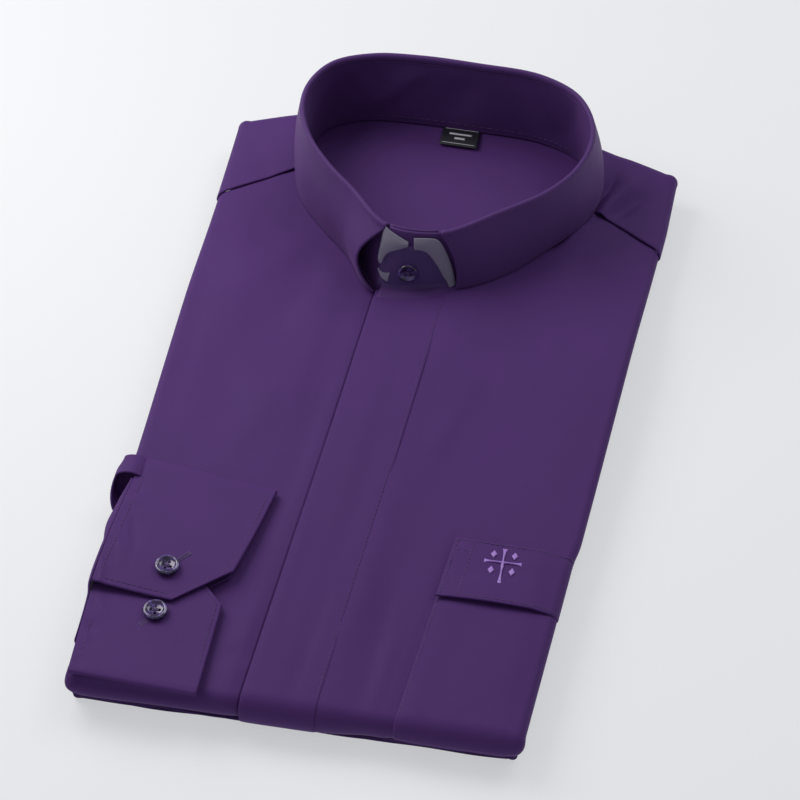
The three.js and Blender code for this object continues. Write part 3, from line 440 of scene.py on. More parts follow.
def stand_foot(round_share, out=0.0):
    inset = mix(STAND_INSET_FRONT, STAND_INSET_BACK, backness(round_share) ** 2)
    flat = on_ring(1, round_share) + outward_at(1, round_share) * (out - inset)
    height = skin_height(flat.x, flat.y) + LINING_LIFT + SEAM_GAP + STAND_CLEAR
    return Vector((flat.x, flat.y, height))


def fold_point(round_share, out=0.0):
    flat = on_ring(0, round_share) + outward_at(0, round_share) * (out - COLLAR_CLOTH - SEAM_GAP)
    return Vector((flat.x, flat.y, fold_height(round_share)))


NECK_REACH, NECK_STEPS = 0.27, 240
NECK_MARGIN = SEAM_GAP + 0.3  # how far the cut edge of the neckline lies outside the band's foot
NECK_SAMPLES = [
    stand_foot(mix(1 - NECK_REACH, 1 / RING_SHARE + NECK_REACH, i / NECK_STEPS), NECK_MARGIN)
    for i in range(NECK_STEPS + 1)
]


def neckline(x):
    for a, b in zip(NECK_SAMPLES, NECK_SAMPLES[1:]):
        if a.x >= x > b.x:
            return mix(a.y, b.y, (x - a.x) / (b.x - a.x))
    return (NECK_SAMPLES[0] if x > 0 else NECK_SAMPLES[-1]).y


# For each side, right and left: the yoke seam's y at the side fold, and its share of the neckline.
SEAM_EDGES = {-1: 120.5, 1: 123.5}
SEAM_MEETS = {-1: 0.237, 1: 1 - 0.215}
RIGHT_MEETING, LEFT_MEETING = (stand_foot(SEAM_MEETS[s], NECK_MARGIN) for s in (-1, 1))


def yoke_seam(x):
    meeting = RIGHT_MEETING if x < 0 else LEFT_MEETING
    share = (abs(x) - abs(meeting.x)) / (WEARER_LEFT[1] - abs(meeting.x))
    return mix(meeting.y, SEAM_EDGES[-1 if x < 0 else 1], clamp(share))


PLACKET_WIDTH = 33.5
PLACKET_EDGE_BOTTOM = -29.5
PLACKET_EDGE_TOP = -19.5
PLACKET_UNDERLAP = 21.0
STEP_FADE = 26.0
PLACKET_TOP = 66.0
FRONT_FOOT = 45.0  # above this the rows of cloth run up to the neckline and the yoke seam
BOTTOM_ROWS = 0.125
BOTTOM_HIDDEN = BOTTOM_CENTRE - cloth_length(BOTTOM_EDGE, BOTTOM_ROLL)
BOTTOM_FLAT = BOTTOM_CENTRE - flat_part(BOTTOM_EDGE, BOTTOM_ROLL)


def placket_edge(y):
    return mix(PLACKET_EDGE_BOTTOM, PLACKET_EDGE_TOP, share_up(y, BOTTOM_EDGE, PLACKET_TOP))


def row_place(r, top):
    """The y of a row on the flat cloth: an eighth of the rows goes round the bottom fold."""
    if r < BOTTOM_ROWS:
        return mix(BOTTOM_HIDDEN, BOTTOM_FLAT, r / BOTTOM_ROWS)
    return mix(BOTTOM_FLAT, top, (r - BOTTOM_ROWS) / (1 - BOTTOM_ROWS))


def bell(off, width):
    return math.exp(-((off / width) ** 2))


CREASE_LEAN = (0.85, 1.25)  # a crease is steeper on one side
CREASE_BEGINS, CREASE_ENDS = (-0.2, 0.3), (0.65, 1.2)


def crease_lift(x, y, marks):
    """How far the listed soft ridges (over 0) and troughs (under 0) lift the cloth at a place."""
    lift = 0.0
    for x0, y0, x1, y1, height, width in marks:
        run_x, run_y = x1 - x0, y1 - y0
        length = math.hypot(run_x, run_y)
        t = ((x - x0) * run_x + (y - y0) * run_y) / length**2
        off = ((x - x0) * run_y - (y - y0) * run_x) / length
        if CREASE_BEGINS[0] < t < CREASE_ENDS[1] and abs(off) < 3 * width:
            fade = smooth(t, *CREASE_BEGINS) * (1 - smooth(t, *CREASE_ENDS))
            lift += height * bell(off, width * CREASE_LEAN[off > 0]) * fade
    return lift


# Each small gather beside a seam: its length, where it starts and its height.
GATHERS = [(2.7, 0, 1), (1.63, 1.3, 0.7), (5.9, 0, 0.5)]


def pucker(distance, along, depth=0.14, reach=4.0):
    """The small gathers that a line of stitching draws into pressed cloth."""
    waves = sum(high * math.sin(along / long + start) for long, start, high in GATHERS)
    return depth * bell(distance, reach) * waves * 0.5


def rounded_edge(distance, radius=0.7):
    """How far the cloth comes down at a folded edge."""
    if distance >= radius:
        return 0.0
    return radius - math.sqrt(max(0, radius**2 - (radius - distance) ** 2))


def bunched(share, close=0.03):
    """Sets grid lines closer together at both ends of 0 to 1."""
    return share - close * math.sin(2 * math.pi * share) * 3


THREAD_PITCH = 0.00036
SLUB_FINE, SLUB_LONG = 2600, 45


def poplin(name, light, dark, rough=0.66, sheen=0.05):
    """Fine plain-woven cotton, with the weave and its slubs in the cloth's own directions."""
    cloth = Finish(name)
    thread = cloth.node("ShaderNodeUVMap", uv_map="cloth")
    split = cloth.node("ShaderNodeSeparateXYZ", {0: thread})
    down = Wire(split.socket.node.outputs[1])
    weave = (split * (math.pi / THREAD_PITCH)).sine() * (down * (math.pi / THREAD_PITCH)).sine()
    slub_warp = cloth.noise(cloth.stretched(thread, (SLUB_FINE, SLUB_LONG, 1)), 1.0, 3.0)
    slub_weft = cloth.noise(cloth.stretched(thread, (SLUB_LONG, SLUB_FINE, 1)), 1.0, 3.0)
    slubs = slub_warp * 0.5 + slub_weft * 0.5
    handling = cloth.noise(thread, 26.0, 4.0, 0.55)
    tone = (handling * 0.55 + slubs * 0.45 - 0.5) * 1.5 + 0.5
    shade = cloth.blend(tone.clamped(), dark, light)
    fine = cloth.bump(weave * 0.5 + slubs * 0.9, 0.35, 0.00012)
    soft = cloth.bump(cloth.noise(thread, 34.0, 3.0, 0.5), 0.45, 0.0011, fine)
    cloth.set(Base_Color=shade, Roughness=(handling - 0.5) * 0.16 + rough, Normal=soft)
    cloth.set(Sheen_Weight=sheen, Sheen_Roughness=0.45, Sheen_Tint=(0.75, 0.45, 1, 1))
    cloth.set(Specular_IOR_Level=0.17)
    return cloth.material


shirt_poplin = poplin("purple_poplin", (0.072, 0.0235, 0.142, 1), (0.055, 0.0175, 0.111, 1))


def cloth_piece(name, columns, rows, place, material, thick=0.8):
    """A shell of cloth: a grid moved onto place(column share, row share), with its flat cloth as UV."""
    mesh = bmesh.new()
    bmesh.ops.create_grid(mesh, x_segments=columns, y_segments=rows, size=0.5)
    layer = mesh.loops.layers.uv.new("cloth")
    flat = {}
    for vert in mesh.verts:
        point, flat[vert] = place(vert.co.x + 0.5, vert.co.y + 0.5)
        vert.co = point * MM
    for face in mesh.faces:
        face.smooth = True
        for loop in face.loops:
            loop[layer].uv = Vector(flat[loop.vert]) * MM
    return finished(mesh, name, material, thick)


def finished(mesh, name, material, thick=None):
    data = bpy.data.meshes.new(name)
    mesh.to_mesh(data)
    mesh.free()
    data.materials.append(material)
    piece = bpy.data.objects.new(name, data)
    bpy.context.collection.objects.link(piece)
    if thick:
        shell = piece.modifiers.new("cloth thickness", "SOLIDIFY")
        shell.thickness, shell.offset = thick * MM, -1
    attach(piece, "root")
    return piece


SIDE_SHARE = 0.1  # of the columns, which go round the side fold
OUTER_SHARE = 0.34  # and this many lie outside the neckline
LOWER_ROWS, UPPER_ROWS = 0.72, 0.28  # shares of the rows below and above the front's foot line
UPPER_CLOSING = 1.6
UNDER_YOKE, YOKE_DEPTH = 1.3, 0.85  # how far a front runs on under the yoke's edge, and how deep
YOKE_INNER_END = 58.0


def knots(share, places):
    """A value on a line through (share, value) knots."""
    for (a, low), (b, high) in zip(places, places[1:]):
        if share <= b:
            return mix(low, high, (share - a) / (b - a))
    return places[-1][1]


def front_place(sign, c, r):
    """A place on a front's flat cloth: c runs in from the side fold, r up from the bottom fold."""
    outer_x = (RIGHT_MEETING if sign < 0 else LEFT_MEETING).x * 0.995

    def across(y):
        if c < SIDE_SHARE:
            return side_place(sign, y, 1 - c / SIDE_SHARE)
        edge = side_place(sign, y, 0)
        if c < OUTER_SHARE:
            return mix(edge, outer_x, (c - SIDE_SHARE) / (OUTER_SHARE - SIDE_SHARE))
        near = placket_edge(y)
        if sign < 0:
            stops = [(0.76, near - 2.2), (0.93, near + 0.8), (1, near + PLACKET_UNDERLAP)]
        else:
            seam = near + PLACKET_WIDTH
            stops = [(0.84, seam + 2.4), (1, seam - 1.6)]
        return knots(c, [(OUTER_SHARE, outer_x), *stops])

    if r < LOWER_ROWS:
        y = row_place(r / LOWER_ROWS, FRONT_FOOT)
        return across(max(y, BOTTOM_CENTRE)), y
    up = 1 - (1 - (r - LOWER_ROWS) / UPPER_ROWS) ** UPPER_CLOSING
    low = across(FRONT_FOOT)
    if c < OUTER_SHARE:
        x = across(SEAM_EDGES[sign])
        return mix(low, x, up), mix(FRONT_FOOT, yoke_seam(x) + UNDER_YOKE, up)
    x = across(PLACKET_TOP)
    return mix(low, x, up), mix(FRONT_FOOT, neckline(x), up)


def under_yoke(x, y):
    """How far a front goes down where it passes under the yoke."""
    return YOKE_DEPTH * smooth(y - yoke_seam(x), -0.2, 0.4) if abs(x) > YOKE_INNER_END else 0


def handled(x, y):
    """The faint broad unevenness of pressed cloth on a soft stack."""
    broad = math.sin(x / 19 + 0.8 * math.sin(y / 31)) * math.sin(y / 27 + 1.1)
    fine = math.sin(x / 8.3 + y / 23 + 2) * math.sin(y / 14.5 - x / 41)
    return 0.38 * broad + 0.14 * fine


RIGHT_CREASES = [
    (-108, -177.5, -44, -179, -1.5, 3.2),
    (-58, 96, -84, 60, 0.9, 9),
    (-50, 80, -64, 30, -0.8, 8),
    (-96, 118, -78, 20, 0.7, 10),
    (-40, 62, -46, -20, 0.7, 8),
    (-30, 20, -37, -90, -0.6, 6),
    (-86, 20, -60, -40, -0.6, 12),
    (-34, -120, -36, -176, 0.8, 4.5),
    (-52, 10, -66, -44, 0.6, 9),
    (-32, -158, -40, -150, -0.7, 4),
    (-100, 60, -98, -30, -0.5, 7),
]


def right_front(c, r):
    x, y = front_place(-1, c, r)
    lift = crease_lift(x, y, RIGHT_CREASES) + handled(x, y)
    lift += pucker(yoke_seam(x) - y, x)
    lift *= smooth(clamp(c / SIDE_SHARE), 0.2, 1)
    beside_placket = x - placket_edge(max(y, BOTTOM_CENTRE)) + 0.45
    lift -= under_yoke(x, y) + 0.4 * bell(beside_placket, 0.55)
    lift -= 0.35 * bell(beside_placket, 3.2)
    return skin(x, y, lift), (x, y)


front_right = cloth_piece("right_front", 130, 170, right_front, shirt_poplin)
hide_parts("front_right")

# ---------- left front ----------
# The wearer's left front, of the same poplin. It turns round the other side fold, and is sewn to the
# placket's inner edge, where it stands a little higher than the rest.

POCKET_EDGE_TOP = 45.5
POCKET_EDGE_BOTTOM = 38.0
FLAP_TOP = -71.0
FAR_OFF = 99


def pocket_edge(y):
    return mix(POCKET_EDGE_BOTTOM, POCKET_EDGE_TOP, share_up(y, BOTTOM_EDGE, FLAP_TOP))


LEFT_CREASES = [
    (72, 131, 64, 118, 1.5, 1.6),
    (68, 130, 57, 112, -1.2, 2.2),
    (84, -112, 74, -172, -0.7, 5),
    (96, -60, 70, -20, 0.5, 9),
    (40, 30, 26, -30, 0.45, 5),
    (60, 100, 84, 64, 0.8, 9),
    (44, 82, 66, 40, -0.7, 8),
    (30, 66, 36, -10, 0.6, 9),
    (70, 104, 100, 96, -0.8, 6),
    (20, 30, 12, -60, -0.5, 8),
    (90, 70, 84, -20, 0.5, 12),
    (60, 10, 50, -60, -0.5, 14),
    (14, -40, 8, -150, 0.6, 7),
    (24, -90, 22, -176, -0.7, 5),
    (30, -130, 28, -178, 0.6, 4),
]


def front_lift(x, y):
    seam = placket_edge(min(y, PLACKET_TOP)) + PLACKET_WIDTH
    return (CLOTH + SEAM_GAP) * (1 - smooth(x, seam + 2, seam + STEP_FADE))


def left_front(c, r):
    x, y = front_place(1, 1 - c, r)
    seam = placket_edge(max(y, BOTTOM_CENTRE)) + PLACKET_WIDTH
    lift = crease_lift(x, y, LEFT_CREASES) + handled(x + 60, y)
    lift += pucker(yoke_seam(x) - y, x) + pucker(x - seam, y, 0.1)
    beside_pocket = x - pocket_edge(y) if y < FLAP_TOP else FAR_OFF
    lift -= 0.45 * bell(beside_pocket, 2.6)
    lift *= smooth(clamp((1 - c) / SIDE_SHARE), 0.2, 1)
    lift -= under_yoke(x, y) + 1.2 * (1 - smooth(x, seam - 1.1, seam - 0.1))
    return skin(x, y, lift + front_lift(x, y)), (x, y)


front_left = cloth_piece("left_front", 120, 170, left_front, shirt_poplin)
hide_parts("front_left")

# ---------- fly placket ----------
# A folded strip of poplin that hides the front's buttons. It is sewn down along the left front, and its
# other edge lies free on the right front.

PLACKET_LOWER_ROWS, PLACKET_UPPER_ROWS = 0.8, 0.2
PLACKET_CREASES = [
    (-24, 60, -22, 20, 0.3, 5),
    (-6, 40, -10, -60, 0.35, 6),
    (-22, -60, -26, -170, 0.4, 5),
    (-4, -110, -8, -178, -0.45, 4),
    (2, -20, -4, -100, -0.3, 5),
]


def placket(c, r):
    share = bunched(c)
    if r < PLACKET_LOWER_ROWS:
        y = row_place(r / PLACKET_LOWER_ROWS, FRONT_FOOT)
        x = placket_edge(max(y, BOTTOM_CENTRE)) + PLACKET_WIDTH * share
    else:
        top = neckline(placket_edge(PLACKET_TOP) + PLACKET_WIDTH * share)
        y = mix(FRONT_FOOT, top, (r - PLACKET_LOWER_ROWS) / PLACKET_UPPER_ROWS)
        x = placket_edge(y) + PLACKET_WIDTH * share
    lift = SEAM_GAP + CLOTH + crease_lift(x, y, PLACKET_CREASES) + 0.7 * handled(x + 30, y + 9)
    lift += pucker(PLACKET_WIDTH * (1 - share), y, 0.12)
    lift -= rounded_edge(PLACKET_WIDTH * share, 0.8) + 0.3 * math.exp(-PLACKET_WIDTH * share / 2.2)
    lift -= 0.12 * bell(PLACKET_WIDTH * (1 - share), 0.7)
    return skin(x, y, lift), (x + 300, y)


fly = cloth_piece("fly_front", 60, 160, placket, shirt_poplin, 1.1)
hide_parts("fly_placket")

# ---------- yoke ----------
# The shoulder yoke, one piece of poplin that is sewn to both fronts and to the neckline. It turns over
# the shoulder fold behind the collar, where it is drawn into small soft folds.

YOKE_CREASES = [
    (-84, 172, -66, 128, 0.8, 6),
    (-98, 160, -86, 128, -0.5, 6),
    (86, 170, 72, 132, 0.9, 6),
    (104, 166, 88, 136, -0.6, 6),
    (78, 182, 84, 150, -0.6, 5),
    (72, 174, 76, 150, 2.4, 3),
    (80, 162, 72, 133, -2.8, 2.6),
    (90, 164, 75, 134, 2.2, 2.8),
    (98, 160, 84, 138, -1.6, 3),
    (70, 150, 69, 131, 1.6, 1.8),
]


def yoke_columns():
    """The yoke's lines out from the neckline, each with its share round the neck and its fold."""

    def side(sign):
        corner = end_centre(sign, sign * WEARER_LEFT[1], 1)
        seam = SEAM_EDGES[sign] + SEAM_GAP
        rows = [(0.08 * s / 4, 1, 0, mix(seam, corner, s / 4)) for s in range(5)]
        rows += [(0.09, 1, 0.5, None), (0.1, 1, 1, None), (0.11, 0.5, 1, None)]
        return [(SEAM_MEETS[sign] - sign * (0.002 + a), sign, u, v, y, None) for a, u, v, y in rows]

    reach = corner_x(1, SHOULDER_PEAK)
    right = side(-1)
    left = side(1)[::-1]
    middle = []
    for i in range(15):
        s = i / 7 - 1
        x = reach * math.copysign(abs(s) ** 0.8, s)
        round_share = mix(SEAM_MEETS[-1] + 0.125, SEAM_MEETS[1] - 0.125, i / 14)
        middle.append((round_share, -1 if x < 0 else 1, 0, 1, None, x))
    return right + middle + left


YOKE_COLUMNS = yoke_columns()
YOKE_FLAT_ROWS, YOKE_FOLD_ROWS = 0.6, 0.4


def yoke_fold(column, share):
    _, sign, u, v, y, x = column

    def length(roll):
        return mix(flat_part(SHOULDER_PEAK, roll), cloth_length(SHOULDER_PEAK, roll), share)

    centre = corner_x(sign, SHOULDER_PEAK if y is None else y)
    across = sign * (centre + u * length(SIDE_ROLL)) if x is None else x
    along = end_centre(sign, across, 1) + v * length(TOP_ROLL) if y is None else y
    return Vector((across, along))


def yoke_place(c, r):
    spot = clamp(c) * (len(YOKE_COLUMNS) - 1)
    first = min(int(spot), len(YOKE_COLUMNS) - 2)
    near, far, share = YOKE_COLUMNS[first], YOKE_COLUMNS[first + 1], spot - first
    neck = stand_foot(mix(near[0], far[0], share), NECK_MARGIN).xy
    fold_share = max(0, (r - YOKE_FLAT_ROWS) / YOKE_FOLD_ROWS)
    in_from_fold = min(1, r / YOKE_FLAT_ROWS)
    ends = []
    for k, column in ((first, near), (first + 1, far)):
        place = yoke_fold(column, fold_share)
        if r < YOKE_FLAT_ROWS:
            place = stand_foot(column[0], NECK_MARGIN).xy.lerp(place, in_from_fold)
        if k in (0, len(YOKE_COLUMNS) - 1):
            place.y = yoke_seam(place.x) + SEAM_GAP
        ends.append(place)
    chord = stand_foot(near[0], NECK_MARGIN).xy.lerp(stand_foot(far[0], NECK_MARGIN).xy, share)
    return ends[0].lerp(ends[1], share) + (neck - chord) * (1 - in_from_fold)


def yoke(c, r):
    x, y = yoke_place(c, 1 - r)
    lift = crease_lift(x, y, YOKE_CREASES) * smooth(r, 0.02, 0.2)
    lift += pucker(y - yoke_seam(x), x, 0.1) if abs(x) > 60 else 0
    return skin(x, y, lift), (x, y)


yoke_piece = cloth_piece("shoulder_yoke", 220, 36, yoke, shirt_poplin)
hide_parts("yoke")

# ---------- lining of the yoke ----------
# The inside of the yoke and the back, of the same poplin. It shows as the floor of the collar's ring and
# is sewn to the foot of the collar's band. Its colour is the poplin's lightened a little: painted light
# in the shaded ring.

# A lighter copy of the front's poplin: painted light on the shaded floor of the collar's ring.
lightened_lining_poplin = poplin("purple_poplin_inside_painted_light", (0.078, 0.0265, 0.150, 1), (0.060, 0.020, 0.119, 1))
LINING_CENTRE, LINING_MARGIN = Vector((0, 128)), 2.2
LINING_CREASES = [
    (-40, 165, -30, 110, -0.5, 8),
    (-10, 150, 10, 95, 0.6, 12),
    (30, 160, 36, 105, -0.4, 9),
    (-25, 172, 35, 168, -0.5, 4),
]


def lining(c, r):
    a, b = 2 * c - 1, 2 * r - 1
    disc = Vector((a * math.sqrt(1 - b * b / 2), b * math.sqrt(1 - a * a / 2)))
    share = disc.length
    best = ring_by_angle(math.atan2(disc.y, disc.x))
    rim = stand_foot(best, LINING_MARGIN).xy
    x, y = LINING_CENTRE.lerp(rim, share)
    lift = LINING_LIFT + crease_lift(x, y, LINING_CREASES)
    return Vector((x, y, skin_height(x, y) + lift)), (x, y)


RING_ANGLES = []
for i in range(361):
    round_share = i / 360 / RING_SHARE
    from_centre = stand_foot(round_share, LINING_MARGIN).xy - LINING_CENTRE
    RING_ANGLES.append((math.atan2(from_centre.y, from_centre.x), round_share))


def ring_by_angle(angle):
    """The share round the neck at which a ray from the lining's centre meets its rim."""
    for (a, first), (b, second) in zip(RING_ANGLES, RING_ANGLES[1:]):
        run = (b - a + math.pi) % (2 * math.pi) - math.pi
        off = (angle - a + math.pi) % (2 * math.pi) - math.pi
        if run < 0 and run <= off <= 0:
            return mix(first, second, off / run)
    return 0.0


yoke_inside = cloth_piece("yoke_inside", 60, 60, lining, lightened_lining_poplin)
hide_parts("yoke_lining")

# ---------- collar stand ----------
# The inner band of the collar: two layers of poplin on a stiff interlining, sewn round the neckline, and
# lapped and buttoned at the front.

STAND_OVERLAP, STAND_END = 0.056, 1.055
STAND_HIGH, STAND_LONG = 34, 405
FOOT_SHARE, FOOT_OUT, FOOT_UP = 0.11, 5.6, 2.7
BAND_SEAM_AT, BAND_SEAM_WIDE, BAND_SEAM_DEEP = 0.15, 0.018, 1.5
LEAF_RETURN = 2.2
collar_poplin = poplin(
    "purple_collar_poplin", (0.077, 0.029, 0.142, 1), (0.060, 0.022, 0.116, 1), 0.55, 0.12
)


# As shares round the neck and up the band, its height counting as 0.3.
STAND_CREASES = [
    (0.40, 0.27, 0.36, 0.04, 0.9, 0.022),
    (0.47, 0.26, 0.42, 0.06, -1.0, 0.016),
    (0.52, 0.24, 0.50, 0.05, 0.9, 0.018),
    (0.57, 0.27, 0.60, 0.08, -0.8, 0.015),
    (0.65, 0.26, 0.62, 0.05, 0.8, 0.018),
    (0.71, 0.25, 0.73, 0.08, -0.8, 0.014),
]


def leaf_return(round_share):
    return LEAF_RETURN * clamp(0.25 + min(round_share, 1 - round_share) / 0.04, 0.25, 1)


def stand_spot(round_share, height, out):
    under = 1 - smooth(round_share, 0, 0.07)
    out -= under * (COLLAR_CLOTH + SEAM_GAP)
    foot = stand_foot(round_share, out)
    top = fold_point(round_share, out)
    covered = smooth(round_share, -0.004, 0.0) * (1 - smooth(round_share, 1.0, 1.004))
    top.z -= covered * (leaf_return(clamp(round_share)) + SEAM_GAP)
    return foot.lerp(top, height)


def stand(c, r):
    round_share = mix(-STAND_OVERLAP, STAND_END, c)
    height = 1 - r
    edge = min(height, 1 - height) * STAND_HIGH
    in_notch = smooth(round_share, 0.985, 1.0)
    low = clamp(1 - height / FOOT_SHARE) * in_notch
    seam = in_notch * bell(height - BAND_SEAM_AT, BAND_SEAM_WIDE)
    folds = crease_lift(round_share, height * 0.3, STAND_CREASES)
    out = FOOT_OUT * low - rounded_edge(edge, 0.5) - BAND_SEAM_DEEP * seam + folds
    point = stand_spot(round_share, height, out)
    point.z += FOOT_UP * low
    return point, (round_share * STAND_LONG, height * STAND_HIGH + 400)


stand_piece = cloth_piece("collar_band", 300, 56, stand, collar_poplin, 1.1)
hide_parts("collar_stand")

# ---------- collar leaf ----------
# The outer collar, of poplin on an interlining, which turns over the band's top edge. Its ends are cut
# back in a curve for the tab notch, and its lower edge lies on the shirt.

NOTCH_HOLLOW_RIGHT = 0.017
NOTCH_HOLLOW_LEFT = 0.006
NOTCH_FLARE, NOTCH_FLARE_ROUND = 5.2, 0.05
LEAF_BOW = 1.2
LEAF_INSIDE_ROWS, LEAF_FOLD_ROWS, LEAF_FACE_ROWS = 0.12, 0.16, 0.72
LEAF_LONG, LEAF_HIGH = 420, 36
FOLD_ROUND, FOLD_CREST, FOLD_DOWN = 1.475, 2.1, 1.0
LEAF_CREASES = [
    (0.10, 0.9, 0.16, 0.1, 0.5, 0.05),
    (0.24, 0.1, 0.30, 0.9, -0.5, 0.05),
    (0.70, 0.9, 0.78, 0.0, 0.5, 0.05),
    (0.86, 0.1, 0.90, 0.9, -0.4, 0.05),
]
LEAF_FOLDS = [(a, low * 0.3, b, high * 0.3, lift, wide) for a, low, b, high, lift, wide in LEAF_CREASES]


def leaf_foot(round_share, out=0.0):
    flat = on_ring(1, round_share) + outward_at(1, round_share) * out
    raised = front_lift(flat.x, flat.y) if round_share > 0.5 else 0
    height = skin_height(flat.x, min(flat.y, top_edge(flat.x) - 0.6)) + raised + 0.9
    return Vector((flat.x, flat.y, height))


def leaf_end(round_share, height):
    hollow = max(0, math.sin(math.pi * clamp(height))) ** 0.8
    return mix(NOTCH_HOLLOW_RIGHT * hollow, 1 - NOTCH_HOLLOW_LEFT * hollow, round_share)


def leaf(c, r):
    round_share = bunched(c, 0.02)
    along = round_share * LEAF_LONG
    if r < LEAF_INSIDE_ROWS:
        up = mix(-leaf_return(round_share), -FOLD_DOWN, r / LEAF_INSIDE_ROWS)
        point = fold_point(round_share, -COLLAR_CLOTH)
        point.z += up
        return point, (along, 40 + up)
    if r < 1 - LEAF_FACE_ROWS:
        turn = math.pi * (r - LEAF_INSIDE_ROWS) / LEAF_FOLD_ROWS
        point = fold_point(round_share, FOLD_ROUND - COLLAR_CLOTH - FOLD_ROUND * math.cos(turn))
        point.z += FOLD_CREST * math.sin(turn) - FOLD_DOWN
        return point, (along, 40 + turn)
    height = 1 - (r - (1 - LEAF_FACE_ROWS)) / LEAF_FACE_ROWS
    place = leaf_end(round_share, height)
    top = fold_point(place, SEAM_GAP + COLLAR_CLOTH)
    top.z -= FOLD_DOWN
    point = leaf_foot(place).lerp(top, height)
    bow = math.sin(math.pi * height)
    out = NOTCH_FLARE * math.exp(-round_share / NOTCH_FLARE_ROUND) * bow + LEAF_BOW * bow
    out += 0.6 * crease_lift(round_share, height * 0.3, LEAF_FOLDS)
    aside = outward_at(1, place).to_3d()
    return point + aside * out, (along, 44 + (1 - height) * LEAF_HIGH)


leaf_piece = cloth_piece("collar_fall", 300, 50, leaf, collar_poplin, 1.0)
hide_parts("collar_leaf")

# ---------- collar insert ----------
# A clear plastic arch, slit at its crown, that is pushed in between the band and the leaf and keeps the
# collar's front in shape. A faint bluish sheet over the band round the button is painted light, which
# lightens the band's shade in the notch.

clear_film = Finish("clear_film")
film_place = clear_film.node("ShaderNodeTexCoord", out=3)
clear_film.set(
    Base_Color=(0.30, 0.28, 0.37, 1),
    Roughness=clear_film.noise(film_place, 120.0) * 0.2 + 0.12,
    Alpha=clear_film.noise(film_place, 60.0) * 0.25 + 0.5,
    Specular_IOR_Level=0.5,
)


def front_of_stand(across, height, out):
    round_share = mix(1, 1 / RING_SHARE, (1 - across) / 2)
    return stand_foot(round_share, out).lerp(fold_point(round_share, out), height)


# Each wing's two edges, from the slit at the crown down to the foot, as shares across the notch and
# up the band.
RIGHT_WING = [
    ((-0.12, 0.86), (-0.12, 0.79)),
    ((-0.45, 0.92), (-0.40, 0.73)),
    ((-0.80, 0.97), (-0.70, 0.66)),
    ((-1.04, 0.99), (-0.86, 0.58)),
    ((-1.10, 0.78), (-0.96, 0.47)),
    ((-1.14, 0.56), (-1.04, 0.45)),
]
LEFT_WING = [
    ((0.06, 0.93), (0.06, 0.75)),
    ((0.50, 0.94), (0.42, 0.71)),
    ((0.86, 0.90), (0.66, 0.50)),
    ((1.02, 0.70), (0.78, 0.30)),
    ((1.10, 0.42), (0.86, 0.17)),
    ((1.10, 0.14), (0.88, 0.09)),
]


FILM_OUT, WING_BOW = 0.5, 0.5
NOTCH_HALF = 17


def wing(rows, sign):
    def place(c, r):
        outer = along_line([row[0] for row in rows], r)
        inner = along_line([row[1] for row in rows], r)
        across, up = inner.lerp(outer, c if sign > 0 else 1 - c)
        bow = WING_BOW * math.sin(math.pi * c) if len(rows) > 4 else 0
        point = front_of_stand(across, up, SEAM_GAP + FILM_OUT + bow)
        return point, (across * NOTCH_HALF, up * STAND_HIGH)

    return place


def along_line(line, share):
    """A point on a soft curve through the points of a line."""
    spot = clamp(share) * (len(line) - 1)
    first = min(int(spot), len(line) - 2)
    p = [Vector(line[min(max(k, 0), len(line) - 1)]) for k in range(first - 1, first + 3)]
    return hermite(p[1], p[2], (p[2] - p[0]) / 2, (p[3] - p[1]) / 2, spot - first)


# A faint bluish sheet over the band round the button: painted light that lifts the band's shade in the
# notch.
painted_light_film = Finish("painted_light_film")
painted_light_place = painted_light_film.node("ShaderNodeTexCoord", out=3)
painted_light_film.set(
    Base_Color=(0.15, 0.11, 0.30, 1),
    Roughness=painted_light_film.noise(painted_light_place, 120.0) * 0.2 + 0.12,
    Alpha=painted_light_film.noise(painted_light_place, 60.0) * 0.1 + 0.08,
    Specular_IOR_Level=0.4,
)
# Where the painted-light sheet lies over the band in the notch.
LIGHTENING_SHEET_ROWS = [
    ((-1.0, 0.80), (-1.0, 0.16)),
    ((-0.3, 0.78), (-0.3, 0.13)),
    ((0.3, 0.78), (0.3, 0.12)),
    ((0.82, 0.5), (0.86, 0.12)),
]
TIP = [
    ((-0.62, 0.36), (-0.66, 0.22)),
    ((-0.86, 0.34), (-0.86, 0.26)),
    ((-1.08, 0.38), (-1.04, 0.35)),
]
for name, rows, sign, finish in (
    ("right", RIGHT_WING, -1, clear_film),
    ("left", LEFT_WING, 1, clear_film),
    ("tip", TIP, -1, clear_film),
    ("middle", LIGHTENING_SHEET_ROWS, 1, painted_light_film),
):
    film = cloth_piece(f"clear_insert_{name}", 14, 40, wing(rows, sign), finish.material, 0.35)
    if name == "right":
        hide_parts("collar_insert")

# ---------- chest pocket ----------
# A patch pocket of poplin, its edges turned in and sewn down on the left front. It goes round the side
# fold and the bottom fold with it.

TRIM_CLOTH = 1.1
FLAP_DEPTH = 36.0
PATCH_FLAT, PATCH_ROUND = 0.85, 0.15  # the columns before the side fold, and those round it
PATCH_TURN = 0.6


def patch_across(c, y):
    seen = max(y, BOTTOM_CENTRE)
    start, side = pocket_edge(seen), side_place(1, seen, 0)
    if c < PATCH_FLAT:
        return mix(start, side, c / PATCH_FLAT)
    return side_place(1, seen, PATCH_TURN * (c - PATCH_FLAT) / PATCH_ROUND)


POCKET_CREASES = [
    (60, -110, 54, -170, -0.4, 8),
    (84, -112, 80, -160, 0.4, 8),
    (44, -150, 48, -176, 0.3, 4),
]


PRESSED_ACROSS = (84, 98)


def flattened(x, most):
    """How far the patches are pressed in where they go round the side fold."""
    return most * smooth(x, *PRESSED_ACROSS)


